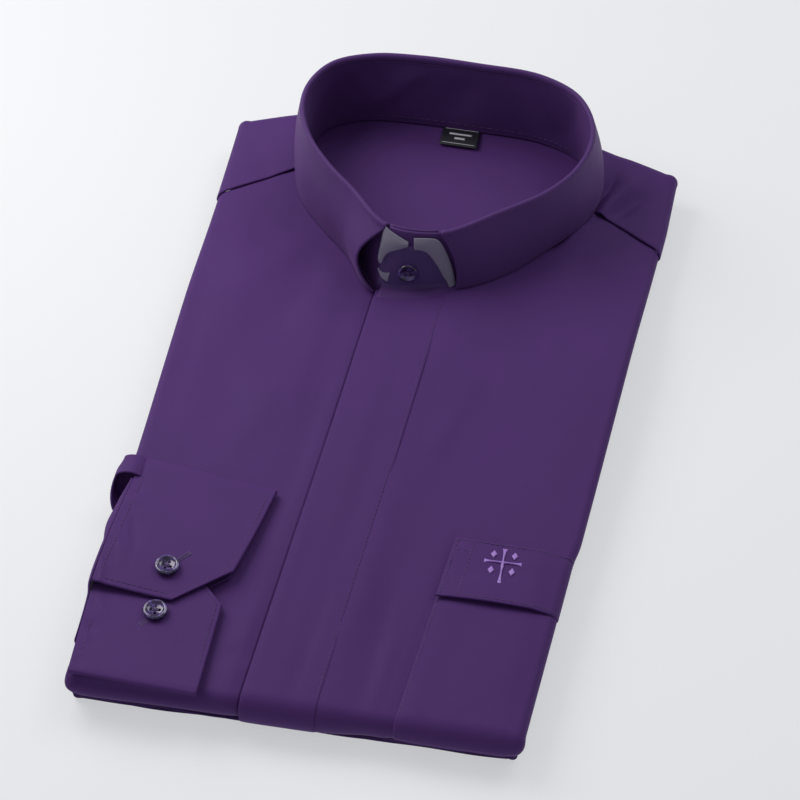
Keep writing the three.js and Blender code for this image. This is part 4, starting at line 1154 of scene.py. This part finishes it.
def pocket(c, r):
    y = row_place(mix(0.04, 1, r), FLAP_TOP - 4)
    x = patch_across(bunched(c, 0.02), y)
    lift = SEAM_GAP + TRIM_CLOTH + crease_lift(x, y, POCKET_CREASES)
    inside = x - pocket_edge(max(y, BOTTOM_CENTRE))
    lift += pucker(inside - 1.5, y, 0.12, 3)
    lift -= 1.15 * math.exp(-inside / 5) + rounded_edge(inside, 0.5)
    return skin(x, y, lift - flattened(x, 0.9)), (x + 500, y)


pocket_piece = cloth_piece("patch_pocket", 60, 80, pocket, shirt_poplin, 0.9)
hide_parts("chest_pocket")

# ---------- pocket flap ----------
# The flap over the pocket's mouth, two layers of poplin, sewn down along its top and its inner edge, with
# a slot for a pen. Its lower edge lifts a little.

FLAP_LIFT = 1.5
FLAP_CREASES = [(52, -100, 90, -92, 0.35, 5), (70, -74, 76, -104, -0.3, 6)]


def flap_spot(c, r, lift=0.0):
    y = mix(FLAP_TOP - FLAP_DEPTH, FLAP_TOP, r)
    x = patch_across(c, y)
    level = 2 * SEAM_GAP + 2 * TRIM_CLOTH + lift - flattened(x, 1.9)
    level -= 0.8 * smooth(r, 0.7, 1) + 0.7 * math.exp(-(x - pocket_edge(y)) / 4) * smooth(r, 0, 0.3)
    level += FLAP_LIFT * math.sin(math.pi * clamp(c / 0.95)) * (1 - smooth(r, 0, 0.6))
    return skin(x, y, level), (x, y)


def flap(c, r):
    c, r = bunched(c), bunched(r)
    _, (x, y) = flap_spot(c, r)
    inside = min(x - pocket_edge(y), (y - FLAP_TOP + FLAP_DEPTH), FLAP_TOP - y)
    lift = -rounded_edge(max(0, inside), 0.7)
    lift += pucker(FLAP_TOP - y - 1.5, x, 0.14, 3) + pucker(x - pocket_edge(y) - 2, y, 0.14, 3)
    lift += crease_lift(x, y, FLAP_CREASES)
    point, _ = flap_spot(c, r, lift)
    return point, (x + 700, y)


flap_piece = cloth_piece("pocket_flap_cloth", 70, 44, flap, shirt_poplin, 0.9)
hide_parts("pocket_flap")

# ---------- cuff ----------
# The right cuff, of poplin on an interlining. It lies over the front as one flattened loop with two
# mitred ends, the upper one lapping over the other.

CUFF_HALF_ROUND, CUFF_DEEP = 122.0, 60
CUFF_LIFT, CUFF_FOOT_RISE = 2.6, 1.2
SEAM_BULGE = 2.6
SEAM_BOTTOM, EDGE_BOTTOM = Vector((-105.3, -180.5)), Vector((-47.6, -182))
EDGE_TOP, SEAM_TOP = Vector((-38.4, -61.5)), Vector((-102.6, -53.8))
CUFF_LINE = [
    (72, 2.7, 27),
    (62, 2.7, 16.5),
    (51, 2.7, 4),
    (32, 2.6, 2.5),
    (12, 2.5, 0.8),
    (3, 2.4, 0),
    (0.8, 2.1, 0),
    (0, 1.5, 0),
    (0.8, 0.9, 0),
    (3, 0.7, 0.4),
    (40, 0.7, 3.6),
    (52, 0.7, 6),
    (60, 0.7, 13),
    (68, 0.7, 6),
    (80, 0.7, 3.6),
    (119, 0.7, 0.4),
    (121.2, 0.9, 0),
    (122, 1.6, 0),
    (121.2, 2.4, 0),
    (118, 2.8, 0),
    (104, 3.3, 0.8),
    (90, 4.0, 1.8),
    (78, 4.5, 3),
    (69, 4.7, 4.2),
    (58, 4.75, 14.5),
    (46, 4.7, 26),
]
LAPPING_FROM = 17


def cuff_plan(cut, along, share):
    t = along / CUFF_HALF_ROUND
    seam = SEAM_BOTTOM.lerp(SEAM_TOP, t)
    seam.x -= SEAM_BULGE * math.sin(math.pi * clamp(t))
    edge = EDGE_BOTTOM.lerp(EDGE_TOP, t)
    return seam.lerp(edge, share * (1 - cut / (edge - seam).length))


def cuff_spot(place, share, out):
    """A point of the cuff. place runs along CUFF_LINE, and share from the sleeve seam to the edge."""
    first = min(int(place), len(CUFF_LINE) - 2)
    near, far = Vector(CUFF_LINE[first]), Vector(CUFF_LINE[first + 1])
    along, up, cut = near.lerp(far, place - first)
    before = Vector(CUFF_LINE[max(0, first - 1)])
    after = Vector(CUFF_LINE[min(len(CUFF_LINE) - 1, first + 2)])
    tangent = (far - before).normalized().lerp((after - near).normalized(), place - first)
    tangent = Vector((tangent.x, tangent.y)).normalized()
    lapping = (1 - smooth(along, 46, 110)) if place > LAPPING_FROM else 0
    stand_off = CUFF_LIFT * lapping * (1 - share) ** 1.5
    stand_off += CUFF_FOOT_RISE * (1 - smooth(along, 0, 26))
    x, y = cuff_plan(cut, along, share)
    height = STACK_HEIGHT + SEAM_GAP + up - tangent.x * out + stand_off
    return Vector((x, y + tangent.y * out, height))


CUFF_STEPS = [0]
for (a, b, _), (d, e, _) in zip(CUFF_LINE, CUFF_LINE[1:]):
    CUFF_STEPS.append(CUFF_STEPS[-1] + max(2.2, math.hypot(d - a, e - b)))


def cuff_at(length_share):
    """The place along CUFF_LINE at a share of the cuff's length."""
    wanted = length_share * CUFF_STEPS[-1]
    for k, (a, b) in enumerate(zip(CUFF_STEPS, CUFF_STEPS[1:])):
        if wanted <= b:
            return k + (wanted - a) / (b - a)
    return len(CUFF_LINE) - 1


CUFF_CREASES = [
    (1, 244, 12, 262, 0.5, 2.2),
    (7, 236, 14, 254, -0.5, 1.8),
    (1, 262, 6, 276, 0.45, 1.8),
    (3, 278, 7, 292, -0.35, 1.6),
    (2, 24, 9, 40, 0.4, 2.0),
    (4, 44, 8, 56, -0.3, 2.0),
]


def cuff_cloth(c, r):
    place, share = cuff_at(c), bunched(r)
    from_end = min(c, 1 - c) * CUFF_STEPS[-1]
    from_seam = share * CUFF_DEEP
    from_edge = (1 - share) * CUFF_DEEP
    out = COLLAR_CLOTH / 2 - rounded_edge(min(from_end, from_edge), 0.6)
    length = c * CUFF_STEPS[-1]
    out += pucker(from_edge - 3, length, 0.1, 3) + pucker(from_seam - 4, length, 0.3, 4)
    out += crease_lift(from_seam, length, CUFF_CREASES) + 0.6 * handled(from_seam + 9, length)
    point = cuff_spot(place, share, out)
    return point, (from_seam, length + 900)


cuff_piece = cloth_piece("right_cuff", 420, 48, cuff_cloth, shirt_poplin, 1.1)
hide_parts("cuff_right")

# ---------- right sleeve beside the cuff ----------
# What shows of the right sleeve, of the same poplin: it comes out of the cuff's seam and turns down round
# the side of the stack. A tuck of it stands out beside the cuff's top.

SLEEVE_BOTTOM, SLEEVE_TOP, SLEEVE_SLIT = -163.0, -68.0, -134.0
SLEEVE_OUT, SLEEVE_SWELL = 106.4, 2.8
SLEEVE_LINE = [(0, 0), (0.5, 0.02), (0.88, 0.08), (1, 0.2), (1, 0.45), (0.98, 0.72), (0.96, 1)]


def sleeve(c, r):
    y = mix(SLEEVE_BOTTOM, SLEEVE_TOP, c)
    seam = cuff_plan(0, y - SEAM_BOTTOM.y, 0).x - SEAM_GAP - 0.25
    above_slit = mix(25.4, 21.4, smooth(y, SLEEVE_SLIT, -62))
    top = mix(20.9, above_slit, smooth(y, SLEEVE_SLIT - 1.5, SLEEVE_SLIT + 1.5))
    swell = SLEEVE_SWELL * bell(y + 98, 24)
    wave = 0.4 * math.sin(y / 4.1) + 0.3 * math.sin(y / 7.3 + 1)
    gathered = smooth(y, -86, -69)
    hugging = mix(0.4, 1.6, smooth(y, SLEEVE_SLIT - 14, SLEEVE_SLIT + 10))
    outer = -mix(max(SLEEVE_OUT + swell + wave, hugging - seam), 1.2 - seam, gathered)
    foot = mix(1, 18.9, smooth(y, -90, -72)) + 17.5 * (1 - smooth(y, SLEEVE_BOTTOM, -150))
    out, down = along_line(SLEEVE_LINE, 1 - r)
    return Vector((mix(seam, outer, out), y, mix(top, foot, down))), (r * 24, y + 1300)


sleeve_piece = cloth_piece("right_sleeve", 90, 30, lambda c, r: sleeve(1 - c, r), shirt_poplin, 0.7)
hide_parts("sleeve_right")

TUCK_CLOSES = (-107, 21)  # where its back end is drawn together
TUCK_LINE = [
    (-99, 20.4),
    (-101.8, 22.4),
    (-105.6, 23.6),
    (-109.8, 22.8),
    (-113, 20.0),
    (-114.3, 15.4),
    (-112.6, 10.8),
    (-109, 8.6),
    (-106.2, 10),
    (-105, 14),
    (-104.6, 18),
]


def tuck(c, r):
    x, z = along_line(TUCK_LINE, r)
    deep = smooth(r, 0.36, 0.62)
    bottom = mix(-66.5, -80, deep * (1 - smooth(r, 0.85, 1)))
    y = mix(bottom, mix(-54.5, -57, r), c)
    gather = 0.4 * math.sin(9 * r + 1) * math.sin(math.pi * c)
    closed = smooth(c, 0.45, 1) * smooth(r, 0.3, 0.55)
    x = mix(x + 1.2 * deep * (1 - c), TUCK_CLOSES[0], closed)
    z = mix(z - c + gather, TUCK_CLOSES[1], closed)
    return Vector((x, y, z)), (r * 34, y + 1500)


tuck_piece = cloth_piece("right_sleeve_tuck", 20, 60, tuck, shirt_poplin, 0.8)
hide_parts("sleeve_right_tuck")

# ---------- folded layers behind ----------
# The back, the tail, the side folds and the rest of the sleeves, pressed flat into a stack whose folded
# edges show round the sides. Their poplin is coloured darker than the fronts': painted shade under the
# fronts' edges.

LAYER_PROFILE = [
    (3.4, 0),
    (1.5, 0.5),
    (0.9, 1.4),
    (1.3, 2.3),
    (2.8, 2.6),
    (1.1, 2.9),
    (0.6, 3.9),
    (1.2, 4.9),
    (2.8, 5.2),
    (1.6, 5.5),
    (1.3, 6.4),
    (2.0, 7.1),
    (6.4, 7.3),
]
LAYERS_HIGH, LAYER_PITCH = 7.3, 2.45
LEAST_INSET, UNDER_FRONTS = 0.9, 0.7
COVER_END, COVER_SIDE = 2.6, 1.8  # how far the stack stays inside the cloth that wraps it
# A darker copy of the front's poplin: painted shade on the folded edges under the fronts.
shaded_back_poplin = poplin("purple_poplin_back_painted_shade", (0.062, 0.024, 0.128, 1), (0.050, 0.019, 0.106, 1))


def outline_stations():
    """Places round the stack: x, y, outward x and y, the fold's roll and the cover."""
    found = []

    def corner_y(sx, sy):
        return end_centre(sx, sx * WEARER_LEFT[1], sy) * sy

    def corner(sx, sy, start, stop):
        y = corner_y(sx, sy)
        for i in range(13):
            angle = math.radians(mix(start, stop, i / 12))
            share = angle / (math.pi / 2)
            out = (sx * math.cos(angle), sy * math.sin(angle))
            cover = mix(COVER_SIDE, COVER_END if sy < 0 else 0, share)
            roll = mix(SIDE_ROLL, end_roll(sy), share)
            found.append((sx * corner_x(sx, y), y, *out, roll, cover, angle))

    def end(sy):
        start, stop = (sx * corner_x(sx, corner_y(sx, sy)) for sx in (sy, -sy))
        for i in range(1, 60):
            x = mix(start, stop, i / 60)
            y = sy * end_centre(1, x, sy)
            found.append((x, y, 0, sy, end_roll(sy), COVER_END if sy < 0 else 0, 0))

    def side(sx, start, stop):
        for i in range(1, 90):
            y = mix(start, stop, i / 90)
            found.append((sx * corner_x(sx, y), y, sx, 0, SIDE_ROLL, COVER_SIDE, 0))

    corner(1, -1, 90, 0)
    side(1, BOTTOM_CENTRE, corner_y(1, 1))
    corner(1, 1, 0, 90)
    end(1)
    corner(-1, 1, 90, 0)
    side(-1, corner_y(-1, 1), BOTTOM_CENTRE)
    corner(-1, -1, 0, 90)
    end(-1)
    return found


STATIONS = outline_stations()


def layers(c, r):
    index = round(c * len(STATIONS)) % len(STATIONS)
    x, y, out_x, out_y, roll, cover, angle = STATIONS[index]
    inset, height = along_line(LAYER_PROFILE, r)
    turn = 2 * math.pi * index / len(STATIONS)
    layer = height / LAYER_PITCH
    inset += 0.35 * math.sin(9 * turn + 2.4 * round(layer))
    inset += 0.3 * math.sin(23 * turn + 1.7 * round(layer))
    inset = max(inset + cover + 0.3, LEAST_INSET)
    full = top_height(x, y) - roll * (1 - math.cos(FOLD_TURN)) - UNDER_FRONTS
    height += 0.14 * math.sin(14 * turn + layer) * math.sin(math.pi * clamp(r))
    reach = sharpened(corner_radius(y) - inset, angle)
    x += out_x * reach
    point = Vector((x, skewed(x, y + out_y * reach), max(0, height) * full / LAYERS_HIGH))
    return point, (index * 1.7, r * 40 + 1700)


LOW_EDGE = 0.0004
mesh = bmesh.new()
bmesh.ops.create_grid(mesh, x_segments=len(STATIONS), y_segments=60, size=0.5)
layer_uv = mesh.loops.layers.uv.new("cloth")
for vert in mesh.verts:
    vert.co, vert_flat = layers(vert.co.x + 0.5, vert.co.y + 0.5)
    vert.co *= MM
bmesh.ops.remove_doubles(mesh, verts=mesh.verts, dist=0.000001)
open_edges = [e for e in mesh.edges if e.is_boundary and max(v.co.z for v in e.verts) < LOW_EDGE]
bmesh.ops.contextual_create(mesh, geom=open_edges)
bmesh.ops.recalc_face_normals(mesh, faces=mesh.faces)
if mesh.calc_volume(signed=True) < 0:
    bmesh.ops.reverse_faces(mesh, faces=mesh.faces)
underside = [f for f in mesh.faces if len(f.verts) > 4]
bmesh.ops.inset_region(mesh, faces=underside, thickness=0.0008, depth=0)
for face in mesh.faces:
    face.smooth = True
    flat_down = abs(face.normal.z) > 0.999
    for loop in face.loops:
        place = loop.vert.co
        around = (place.x + place.y, place.z * 3)
        loop[layer_uv].uv = (place.x, place.y) if flat_down else around
layers_piece = finished(mesh, "folded_back_and_tail", shaded_back_poplin, 0.8)
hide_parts("folded_layers_behind")

# ---------- neck label ----------
# A black satin-woven label, sewn in at its upper edge under the band. It carries a plain woven border and
# two pale bars.

LABEL_WIDTH, LABEL_LENGTH, LABEL_X = 18.5, 12.5, 1.5
satin = Finish("black_label_satin")
label_uv = satin.node("ShaderNodeUVMap", uv_map="cloth")
label_ribs = satin.node(
    "ShaderNodeTexWave", {"Vector": label_uv, "Scale": 520.0}, out=1, bands_direction="Y"
)
label_grain = satin.noise(label_uv, 900.0)
satin.set(
    Base_Color=satin.blend(label_grain, (0.006, 0.006, 0.009, 1), (0.02, 0.02, 0.028, 1)),
    Roughness=0.42,
    Normal=satin.bump(label_ribs * 0.6 + label_grain * 0.4, 0.4, 0.0001),
)


def label_spot(c, r, lift=0.0):
    x = LABEL_X + (c - 0.5) * LABEL_WIDTH
    down = 1 - r
    y = stand_foot(0.5).y - COLLAR_CLOTH + 0.6 - down * LABEL_LENGTH
    bow = 0.5 * math.sin(math.pi * r) + 0.6 * down
    height = skin_height(x, y) + LINING_LIFT + SEAM_GAP + 0.6 + bow + lift
    return Vector((x, y, height)), (x + 100, y)


label = cloth_piece("woven_neck_label", 24, 18, label_spot, satin.material, 0.45)
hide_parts("neck_label")

pale_weave = Finish("pale_label_weave")
pale_weave.set(
    Base_Color=pale_weave.blend(
        pale_weave.noise(pale_weave.node("ShaderNodeTexCoord", out=3), 1500.0),
        (0.42, 0.42, 0.46, 1),
        (0.62, 0.62, 0.66, 1),
    ),
    Roughness=0.6,
)
# Each bar and each line of the border, in shares: from and to across the label, then up it.
LABEL_BARS = [
    (0.2, 0.8, 0.56, 0.66),
    (0.36, 0.64, 0.32, 0.42),
    (0.06, 0.94, 0.9, 0.92),
    (0.06, 0.94, 0.1, 0.12),
]
WEAVE_LIFT, WEAVE_THICK = 0.12, 0.15
for k, (start, stop, low, high) in enumerate(LABEL_BARS):

    def bar_place(c, r):
        return label_spot(mix(start, stop, c), mix(low, high, r), WEAVE_LIFT)

    bar = cloth_piece(f"label_bar_{k + 1}", 12, 2, bar_place, pale_weave.material, WEAVE_THICK)

# ---------- buttons ----------
# Sew-through buttons, turned from dark smoky resin: dished, with a polished rim and four drilled holes.
# A cross of purple thread and a shank of it hold each one to the cloth.

BUTTON_RADIUS, BUTTON_THICK = 5.6, 2.4
HOLE_RADIUS, HOLE_PITCH = 0.64, 1.35
STRAND_RADIUS, STRAND_APART, STRAND_OVER, STRAND_REACH = 0.24, 0.22, 0.18, 0.86
SHANK_RADIUS, SHANK_HALF = 1.1, 1.2
BUTTON_PROFILE = [
    (0, 0),
    (0.8, 0),
    (0.9, 0.08),
    (0.965, 0.28),
    (1, 0.6),
    (0.985, 0.8),
    (0.93, 0.93),
    (0.86, 0.99),
    (0.8, 1),
    (0.74, 0.95),
    (0.67, 0.82),
    (0.58, 0.68),
    (0.46, 0.61),
    (0.2, 0.58),
    (0, 0.58),
]
resin = Finish("smoky_resin")
resin_place = resin.node("ShaderNodeTexCoord", out=3)
smoke = resin.noise(resin.stretched(resin_place, (1, 2.2, 1)), 260.0, 4.0, 0.6)
pearl = resin.noise(resin_place, 900.0, 2.0)
resin.set(
    Base_Color=resin.blend(
        ((smoke - 0.42) * 4).clamped(), (0.010, 0.005, 0.028, 1), (0.115, 0.07, 0.27, 1)
    ),
    Roughness=pearl * 0.1 + 0.1,
    Coat_Weight=0.4,
    Coat_Roughness=0.05,
    Specular_IOR_Level=0.5,
)
thread = Finish("purple_thread")
thread_place = thread.node("ShaderNodeTexCoord", out=3)
thread.set(
    Base_Color=thread.blend(
        thread.noise(thread_place, 1400.0), (0.040, 0.016, 0.092, 1), (0.075, 0.032, 0.150, 1)
    ),
    Roughness=0.55,
    Sheen_Weight=0.15,
    Normal=thread.bump(thread.noise(thread_place, 5200.0), 0.4, 0.00008),
)


def rod(mesh, start, stop, radius, sides=8):
    """A short round-ended length of thread between two points."""
    run = stop - start
    turn = run.to_track_quat("Z", "Y").to_matrix().to_4x4()
    size = Matrix.Diagonal((radius, radius, run.length / 2 + radius, 1))
    place = Matrix.Translation((start + stop) / 2) @ turn @ size
    bmesh.ops.create_uvsphere(mesh, u_segments=sides, v_segments=4, radius=1, matrix=place)


def button(name, node, place, scale=1.0):
    """A button whose underside lies on z 0 of place, which is in mm."""
    disc = bmesh.new()
    outline = [
        disc.verts.new((r * BUTTON_RADIUS, 0, z * BUTTON_THICK)) for r, z in BUTTON_PROFILE
    ]
    edges = [disc.edges.new(pair) for pair in zip(outline, outline[1:])]
    bmesh.ops.spin(
        disc,
        geom=outline + edges,
        axis=(0, 0, 1),
        cent=(0, 0, 0),
        angle=2 * math.pi,
        steps=56,
        use_merge=True,
    )
    bmesh.ops.remove_doubles(disc, verts=disc.verts, dist=0.0001)
    bmesh.ops.recalc_face_normals(disc, faces=disc.faces)
    drill = bmesh.new()
    threads = bmesh.new()
    quarters = ((1, 1), (-1, 1), (-1, -1), (1, -1))
    corners = [Vector((HOLE_PITCH * a, HOLE_PITCH * b, 0)) for a, b in quarters]
    for spot in corners:
        bmesh.ops.create_cone(
            drill,
            cap_ends=True,
            segments=16,
            radius1=HOLE_RADIUS,
            radius2=HOLE_RADIUS,
            depth=4 * BUTTON_THICK,
            matrix=Matrix.Translation(spot),
        )
    level = Vector((0, 0, BUTTON_THICK * BUTTON_PROFILE[-1][1] + 0.2))
    for a, b in ((0, 2), (1, 3)):
        for shift in (-STRAND_APART, STRAND_APART):
            aside = Vector((shift, shift * (-1 if a == 0 else 1), STRAND_OVER * a))
            ends = [corners[k] * STRAND_REACH + level + aside for k in (a, b)]
            rod(threads, *ends, STRAND_RADIUS)
    rod(threads, Vector((0, 0, -SHANK_HALF)), Vector((0, 0, SHANK_HALF)), SHANK_RADIUS, 12)
    into = Matrix.Scale(MM, 4) @ place @ Matrix.Scale(scale, 4)
    for part in (disc, drill, threads):
        bmesh.ops.transform(part, matrix=into, verts=part.verts)
        for face in part.faces:
            face.smooth = True
    cutter = finished(drill, f"{name}_drill", resin.material)
    disc_piece = finished(disc, name, resin.material)
    holes = disc_piece.modifiers.new("holes", "BOOLEAN")
    holes.operation, holes.object, holes.solver = "DIFFERENCE", cutter, "EXACT"
    shaped = disc_piece.evaluated_get(bpy.context.evaluated_depsgraph_get())
    drilled = bpy.data.meshes.new_from_object(shaped)
    disc_piece.modifiers.clear()
    disc_piece.data = drilled
    bpy.data.objects.remove(cutter)
    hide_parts(node)
    finished(threads, f"{name}_thread", thread.material)
    return disc_piece


def facing(across, out, place):
    """The matrix of a button at a place, with its face turned out and its x across."""
    up = out.cross(across).normalized()
    turn = Matrix((across, up, out)).transposed().to_4x4()
    return Matrix.Translation(place) @ turn


for name, node, x, y, height, spin in (
    ("lapping_cuff_button", "cuff_button_lap", -75.9, -117.8, 6.8, 25),
    ("under_cuff_button", "cuff_button_underlap", -75.7, -141.3, 4.0, 52),
):
    level = Matrix.Translation((x, y, STACK_HEIGHT + height))
    button(name, node, level @ Matrix.Rotation(math.radians(spin), 4, "Z"))

NECK_BUTTON_SCALE = 0.84
across_stand = (front_of_stand(0.4, 0.42, 0) - front_of_stand(-0.4, 0.42, 0)).normalized()
up_stand = (front_of_stand(0, 0.8, 0) - front_of_stand(0, 0.2, 0)).normalized()
off_stand = across_stand.cross(up_stand).normalized()
neck_button_place = facing(across_stand, off_stand, front_of_stand(-0.12, 0.38, SEAM_GAP + 0.1))
button("neck_button_resin", "neck_button", neck_button_place, NECK_BUTTON_SCALE)

# ---------- seam stitching ----------
# Lockstitch in matching thread along the sewn edges, each stitch a short round-ended length, and the
# buttonholes' close satin stitch.


def sew(name, lines, spacing=2.7, length=2.0, radius=0.14):
    """Rows of stitches. Each line gives a point in mm for a share of its length."""
    stitches = bmesh.new()
    for place in lines:
        points = [place(i / 40) for i in range(41)]
        steps = [(b - a).length for a, b in zip(points, points[1:])]
        total = sum(steps)
        count = max(1, int(total / spacing))
        for k in range(count):
            middle = (k + 0.5) / count
            half = length / total / 2
            ends = [place(middle + side * half) for side in (-1, 1)]
            rod(stitches, ends[0] * MM, ends[1] * MM, radius * MM, 6)
    for face in stitches.faces:
        face.smooth = True
    return finished(stitches, name, thread.material)


THREAD_LIFT = 0.08


def placket_seam(share):
    y = mix(BOTTOM_FLAT, 66, share)
    return skin(placket_edge(y) + PLACKET_WIDTH - 1.1, y, SEAM_GAP + CLOTH + THREAD_LIFT)


def yoke_seam_line(sign, off):
    def place(share):
        meeting = RIGHT_MEETING if sign < 0 else LEFT_MEETING
        x = mix(meeting.x + sign * 2, sign * (corner_x(sign, SEAM_EDGES[sign]) + 4), share)
        return skin(x, yoke_seam(x) + off, THREAD_LIFT)

    return place


sew("placket_stitching", [placket_seam])
sew("yoke_stitching", [yoke_seam_line(sign, 1.7) for sign in (-1, 1)])


def pocket_line(share):
    y = mix(BOTTOM_FLAT, FLAP_TOP - FLAP_DEPTH, share)
    return skin(pocket_edge(y) + 1.6, y, SEAM_GAP + TRIM_CLOTH + THREAD_LIFT - 0.83)


def flap_line(inset, low, high):
    def place(share):
        y = mix(low, high, share)
        c = PATCH_FLAT * inset / (side_place(1, y, 0) - pocket_edge(y))
        return flap_spot(c, (y - FLAP_TOP + FLAP_DEPTH) / FLAP_DEPTH, THREAD_LIFT)[0]

    return place


def flap_across(y, start, stop):
    def place(share):
        c = mix(start, stop, share)
        return flap_spot(c, (y - FLAP_TOP + FLAP_DEPTH) / FLAP_DEPTH, THREAD_LIFT)[0]

    return place


LOW, HIGH = FLAP_TOP - FLAP_DEPTH, FLAP_TOP
sew("pocket_stitching", [pocket_line])
sew(
    "flap_stitching",
    [
        flap_line(1.8, LOW + 1.5, HIGH - 1.5),
        flap_line(9.5, LOW + 1.5, HIGH - 1.5),
        flap_across(HIGH - 1.8, 0.03, 0.95),
        flap_across(HIGH - 8, 0.03, 0.14),
        flap_across(LOW + 9, 0.03, 0.14),
        flap_across(LOW + 1.8, 0.16, 0.95),
    ],
    spacing=2.3,
    length=1.6,
    radius=0.2,
)


def cuff_side(share_in, place_from, place_to):
    def place(share):
        return cuff_spot(mix(place_from, place_to, share), share_in, COLLAR_CLOTH / 2 + THREAD_LIFT)

    return place


def cuff_end(place_at, low=0.06, high=0.95):
    def place(share):
        return cuff_spot(place_at, mix(low, high, share), COLLAR_CLOTH / 2 + THREAD_LIFT)

    return place


sew(
    "cuff_stitching",
    [
        cuff_side(0.955, 19, 24.8),
        cuff_side(0.065, 19, 24.8),
        cuff_end(24.75),
        cuff_side(0.955, 0.2, 4),
        cuff_side(0.065, 0.2, 4),
        cuff_end(0.25),
    ],
    spacing=2.5,
    length=1.8,
)


SEAM_IN = 0.006  # how far in from the leaf's ends the stitches run, as a share of its length


def leaf_end_line(side):
    def place(share):
        height = mix(0.04, 0.94, share)
        near = leaf_end(0, height) + SEAM_IN if side < 0 else leaf_end(1, height) - SEAM_IN
        top = fold_point(near, SEAM_GAP + COLLAR_CLOTH)
        top.z -= FOLD_DOWN
        bow = math.sin(math.pi * height)
        flare = NOTCH_FLARE * math.exp(-near / NOTCH_FLARE_ROUND) * bow if side < 0 else 0
        aside = outward_at(1, near).to_3d()
        return leaf_foot(near).lerp(top, height) + aside * (flare + LEAF_BOW * bow + THREAD_LIFT)

    return place


def band_foot_line(height, start, stop, out=THREAD_LIFT):
    def place(share):
        return stand_spot(mix(start, stop, share), height, out)

    return place


def inside_seam(share):
    round_share = mix(0.2, 0.8, share)
    return stand_spot(round_share, 0.1, -COLLAR_CLOTH - 0.1)


sew(
    "collar_stitching",
    [
        leaf_end_line(-1),
        leaf_end_line(1),
        band_foot_line(0.07, 1.004, 1.05),
        inside_seam,
    ],
    spacing=2.4,
    length=1.7,
    radius=0.15,
)


def buttonhole(name, place, start, stop):
    """Close stitches across both sides of a slit, between two points on a piece's surface."""
    stitches = bmesh.new()
    run = (stop - start).normalized()
    aside = Vector((-run.y, run.x))
    count = int((stop - start).length / 0.42)
    for i in range(count + 1):
        spot = start.lerp(stop, i / count)
        for side in (-1, 1):
            ends = [place(spot + aside * side * off) * MM for off in (0.18, 1.05)]
            rod(stitches, ends[0], ends[1], 0.17 * MM, 6)
    for tip in (start, stop):
        ends = [place(tip + aside * off) * MM for off in (-1.2, 1.2)]
        rod(stitches, ends[0], ends[1], 0.3 * MM, 6)
    for face in stitches.faces:
        face.smooth = True
    return finished(stitches, name, thread.material)


def on_cuff(low_place, high_place):
    """Finds the cuff's upper surface over a point seen from above."""

    def place(spot):
        best, gap = None, 1e9
        for i in range(25):
            for k in range(25):
                point = cuff_spot(mix(low_place, high_place, i / 24), k / 24, COLLAR_CLOTH / 2 + 0.1)
                off = (point.xy - spot).length
                if off < gap:
                    best, gap = point, off
        return Vector((spot.x, spot.y, best.z))

    return place


buttonhole(
    "lapping_buttonhole", on_cuff(20, 25), Vector((-76.5, -118.5)), Vector((-68.0, -107.5))
)
buttonhole("under_buttonhole", on_cuff(0, 3), Vector((-75.2, -142)), Vector((-80.5, -149.5)))

# ---------- embroidered emblem ----------
# An upright and a crossbar with flared ends and four lozenges, embroidered on the flap in lilac thread,
# in raised satin stitch.

EMBLEM_X, EMBLEM_Y = 69.4, -85.2
lilac = Finish("lilac_satin_stitch")
lilac_uv = lilac.node("ShaderNodeUVMap", uv_map="cloth")
lilac_strands = {"Vector": lilac_uv, "Scale": 640.0, "Distortion": 1.5}
lilac_rows = lilac.node("ShaderNodeTexWave", lilac_strands, out=1, bands_direction="Y")
lilac_tone = lilac_rows * 0.6 + lilac.noise(lilac_uv, 900.0) * 0.4
lilac.set(
    Base_Color=lilac.blend(lilac_tone, (0.22, 0.10, 0.42, 1), (0.42, 0.22, 0.68, 1)),
    Roughness=0.38,
    Sheen_Weight=0.2,
    Normal=lilac.bump(lilac_tone, 0.6, 0.00015),
)


def on_flap(x, y, lift):
    c = PATCH_FLAT * (x - pocket_edge(y)) / (side_place(1, y, 0) - pocket_edge(y))
    return flap_spot(c, (y - FLAP_TOP + FLAP_DEPTH) / FLAP_DEPTH, lift)[0]


def satin_shape(name, centre, angle, length, half_width):
    """A padded bar of satin stitch. half_width gives its half width for a share of its length."""
    run = Vector((math.cos(angle), math.sin(angle)))
    aside = Vector((-run.y, run.x))

    def place(c, r):
        wide = half_width(c)
        off = (2 * r - 1) * wide
        spot = centre + run * (c - 0.5) * length + aside * off
        dome = math.sqrt(max(0, 1 - (2 * r - 1) ** 2)) * (1 - (2 * c - 1) ** 8)
        return on_flap(spot.x, spot.y, 0.05 + 0.42 * dome), (c * length, off + 40)

    return cloth_piece(name, 40, 12, place, lilac.material, 0.2)


def flared(c):
    return 0.42 + 0.75 * abs(2 * c - 1) ** 5 + 0.25 * math.exp(-(((c - 0.5) / 0.06) ** 2))


def lozenge(c):
    return 0.05 + 1.5 * (1 - abs(2 * c - 1))


emblem = Vector((EMBLEM_X, EMBLEM_Y))
satin_shape("emblem_upright", emblem, math.radians(92), 21, flared)
satin_shape("emblem_crossbar", emblem + Vector((0, 2.2)), math.radians(2), 17, flared)
for k, (x, y) in enumerate([(-4.8, 6.4), (4.6, 6.8), (-4.6, -3.0), (4.8, -2.6)]):
    satin_shape(f"emblem_lozenge_{k + 1}", emblem + Vector((x, y)), math.radians(92), 4.6, lozenge)
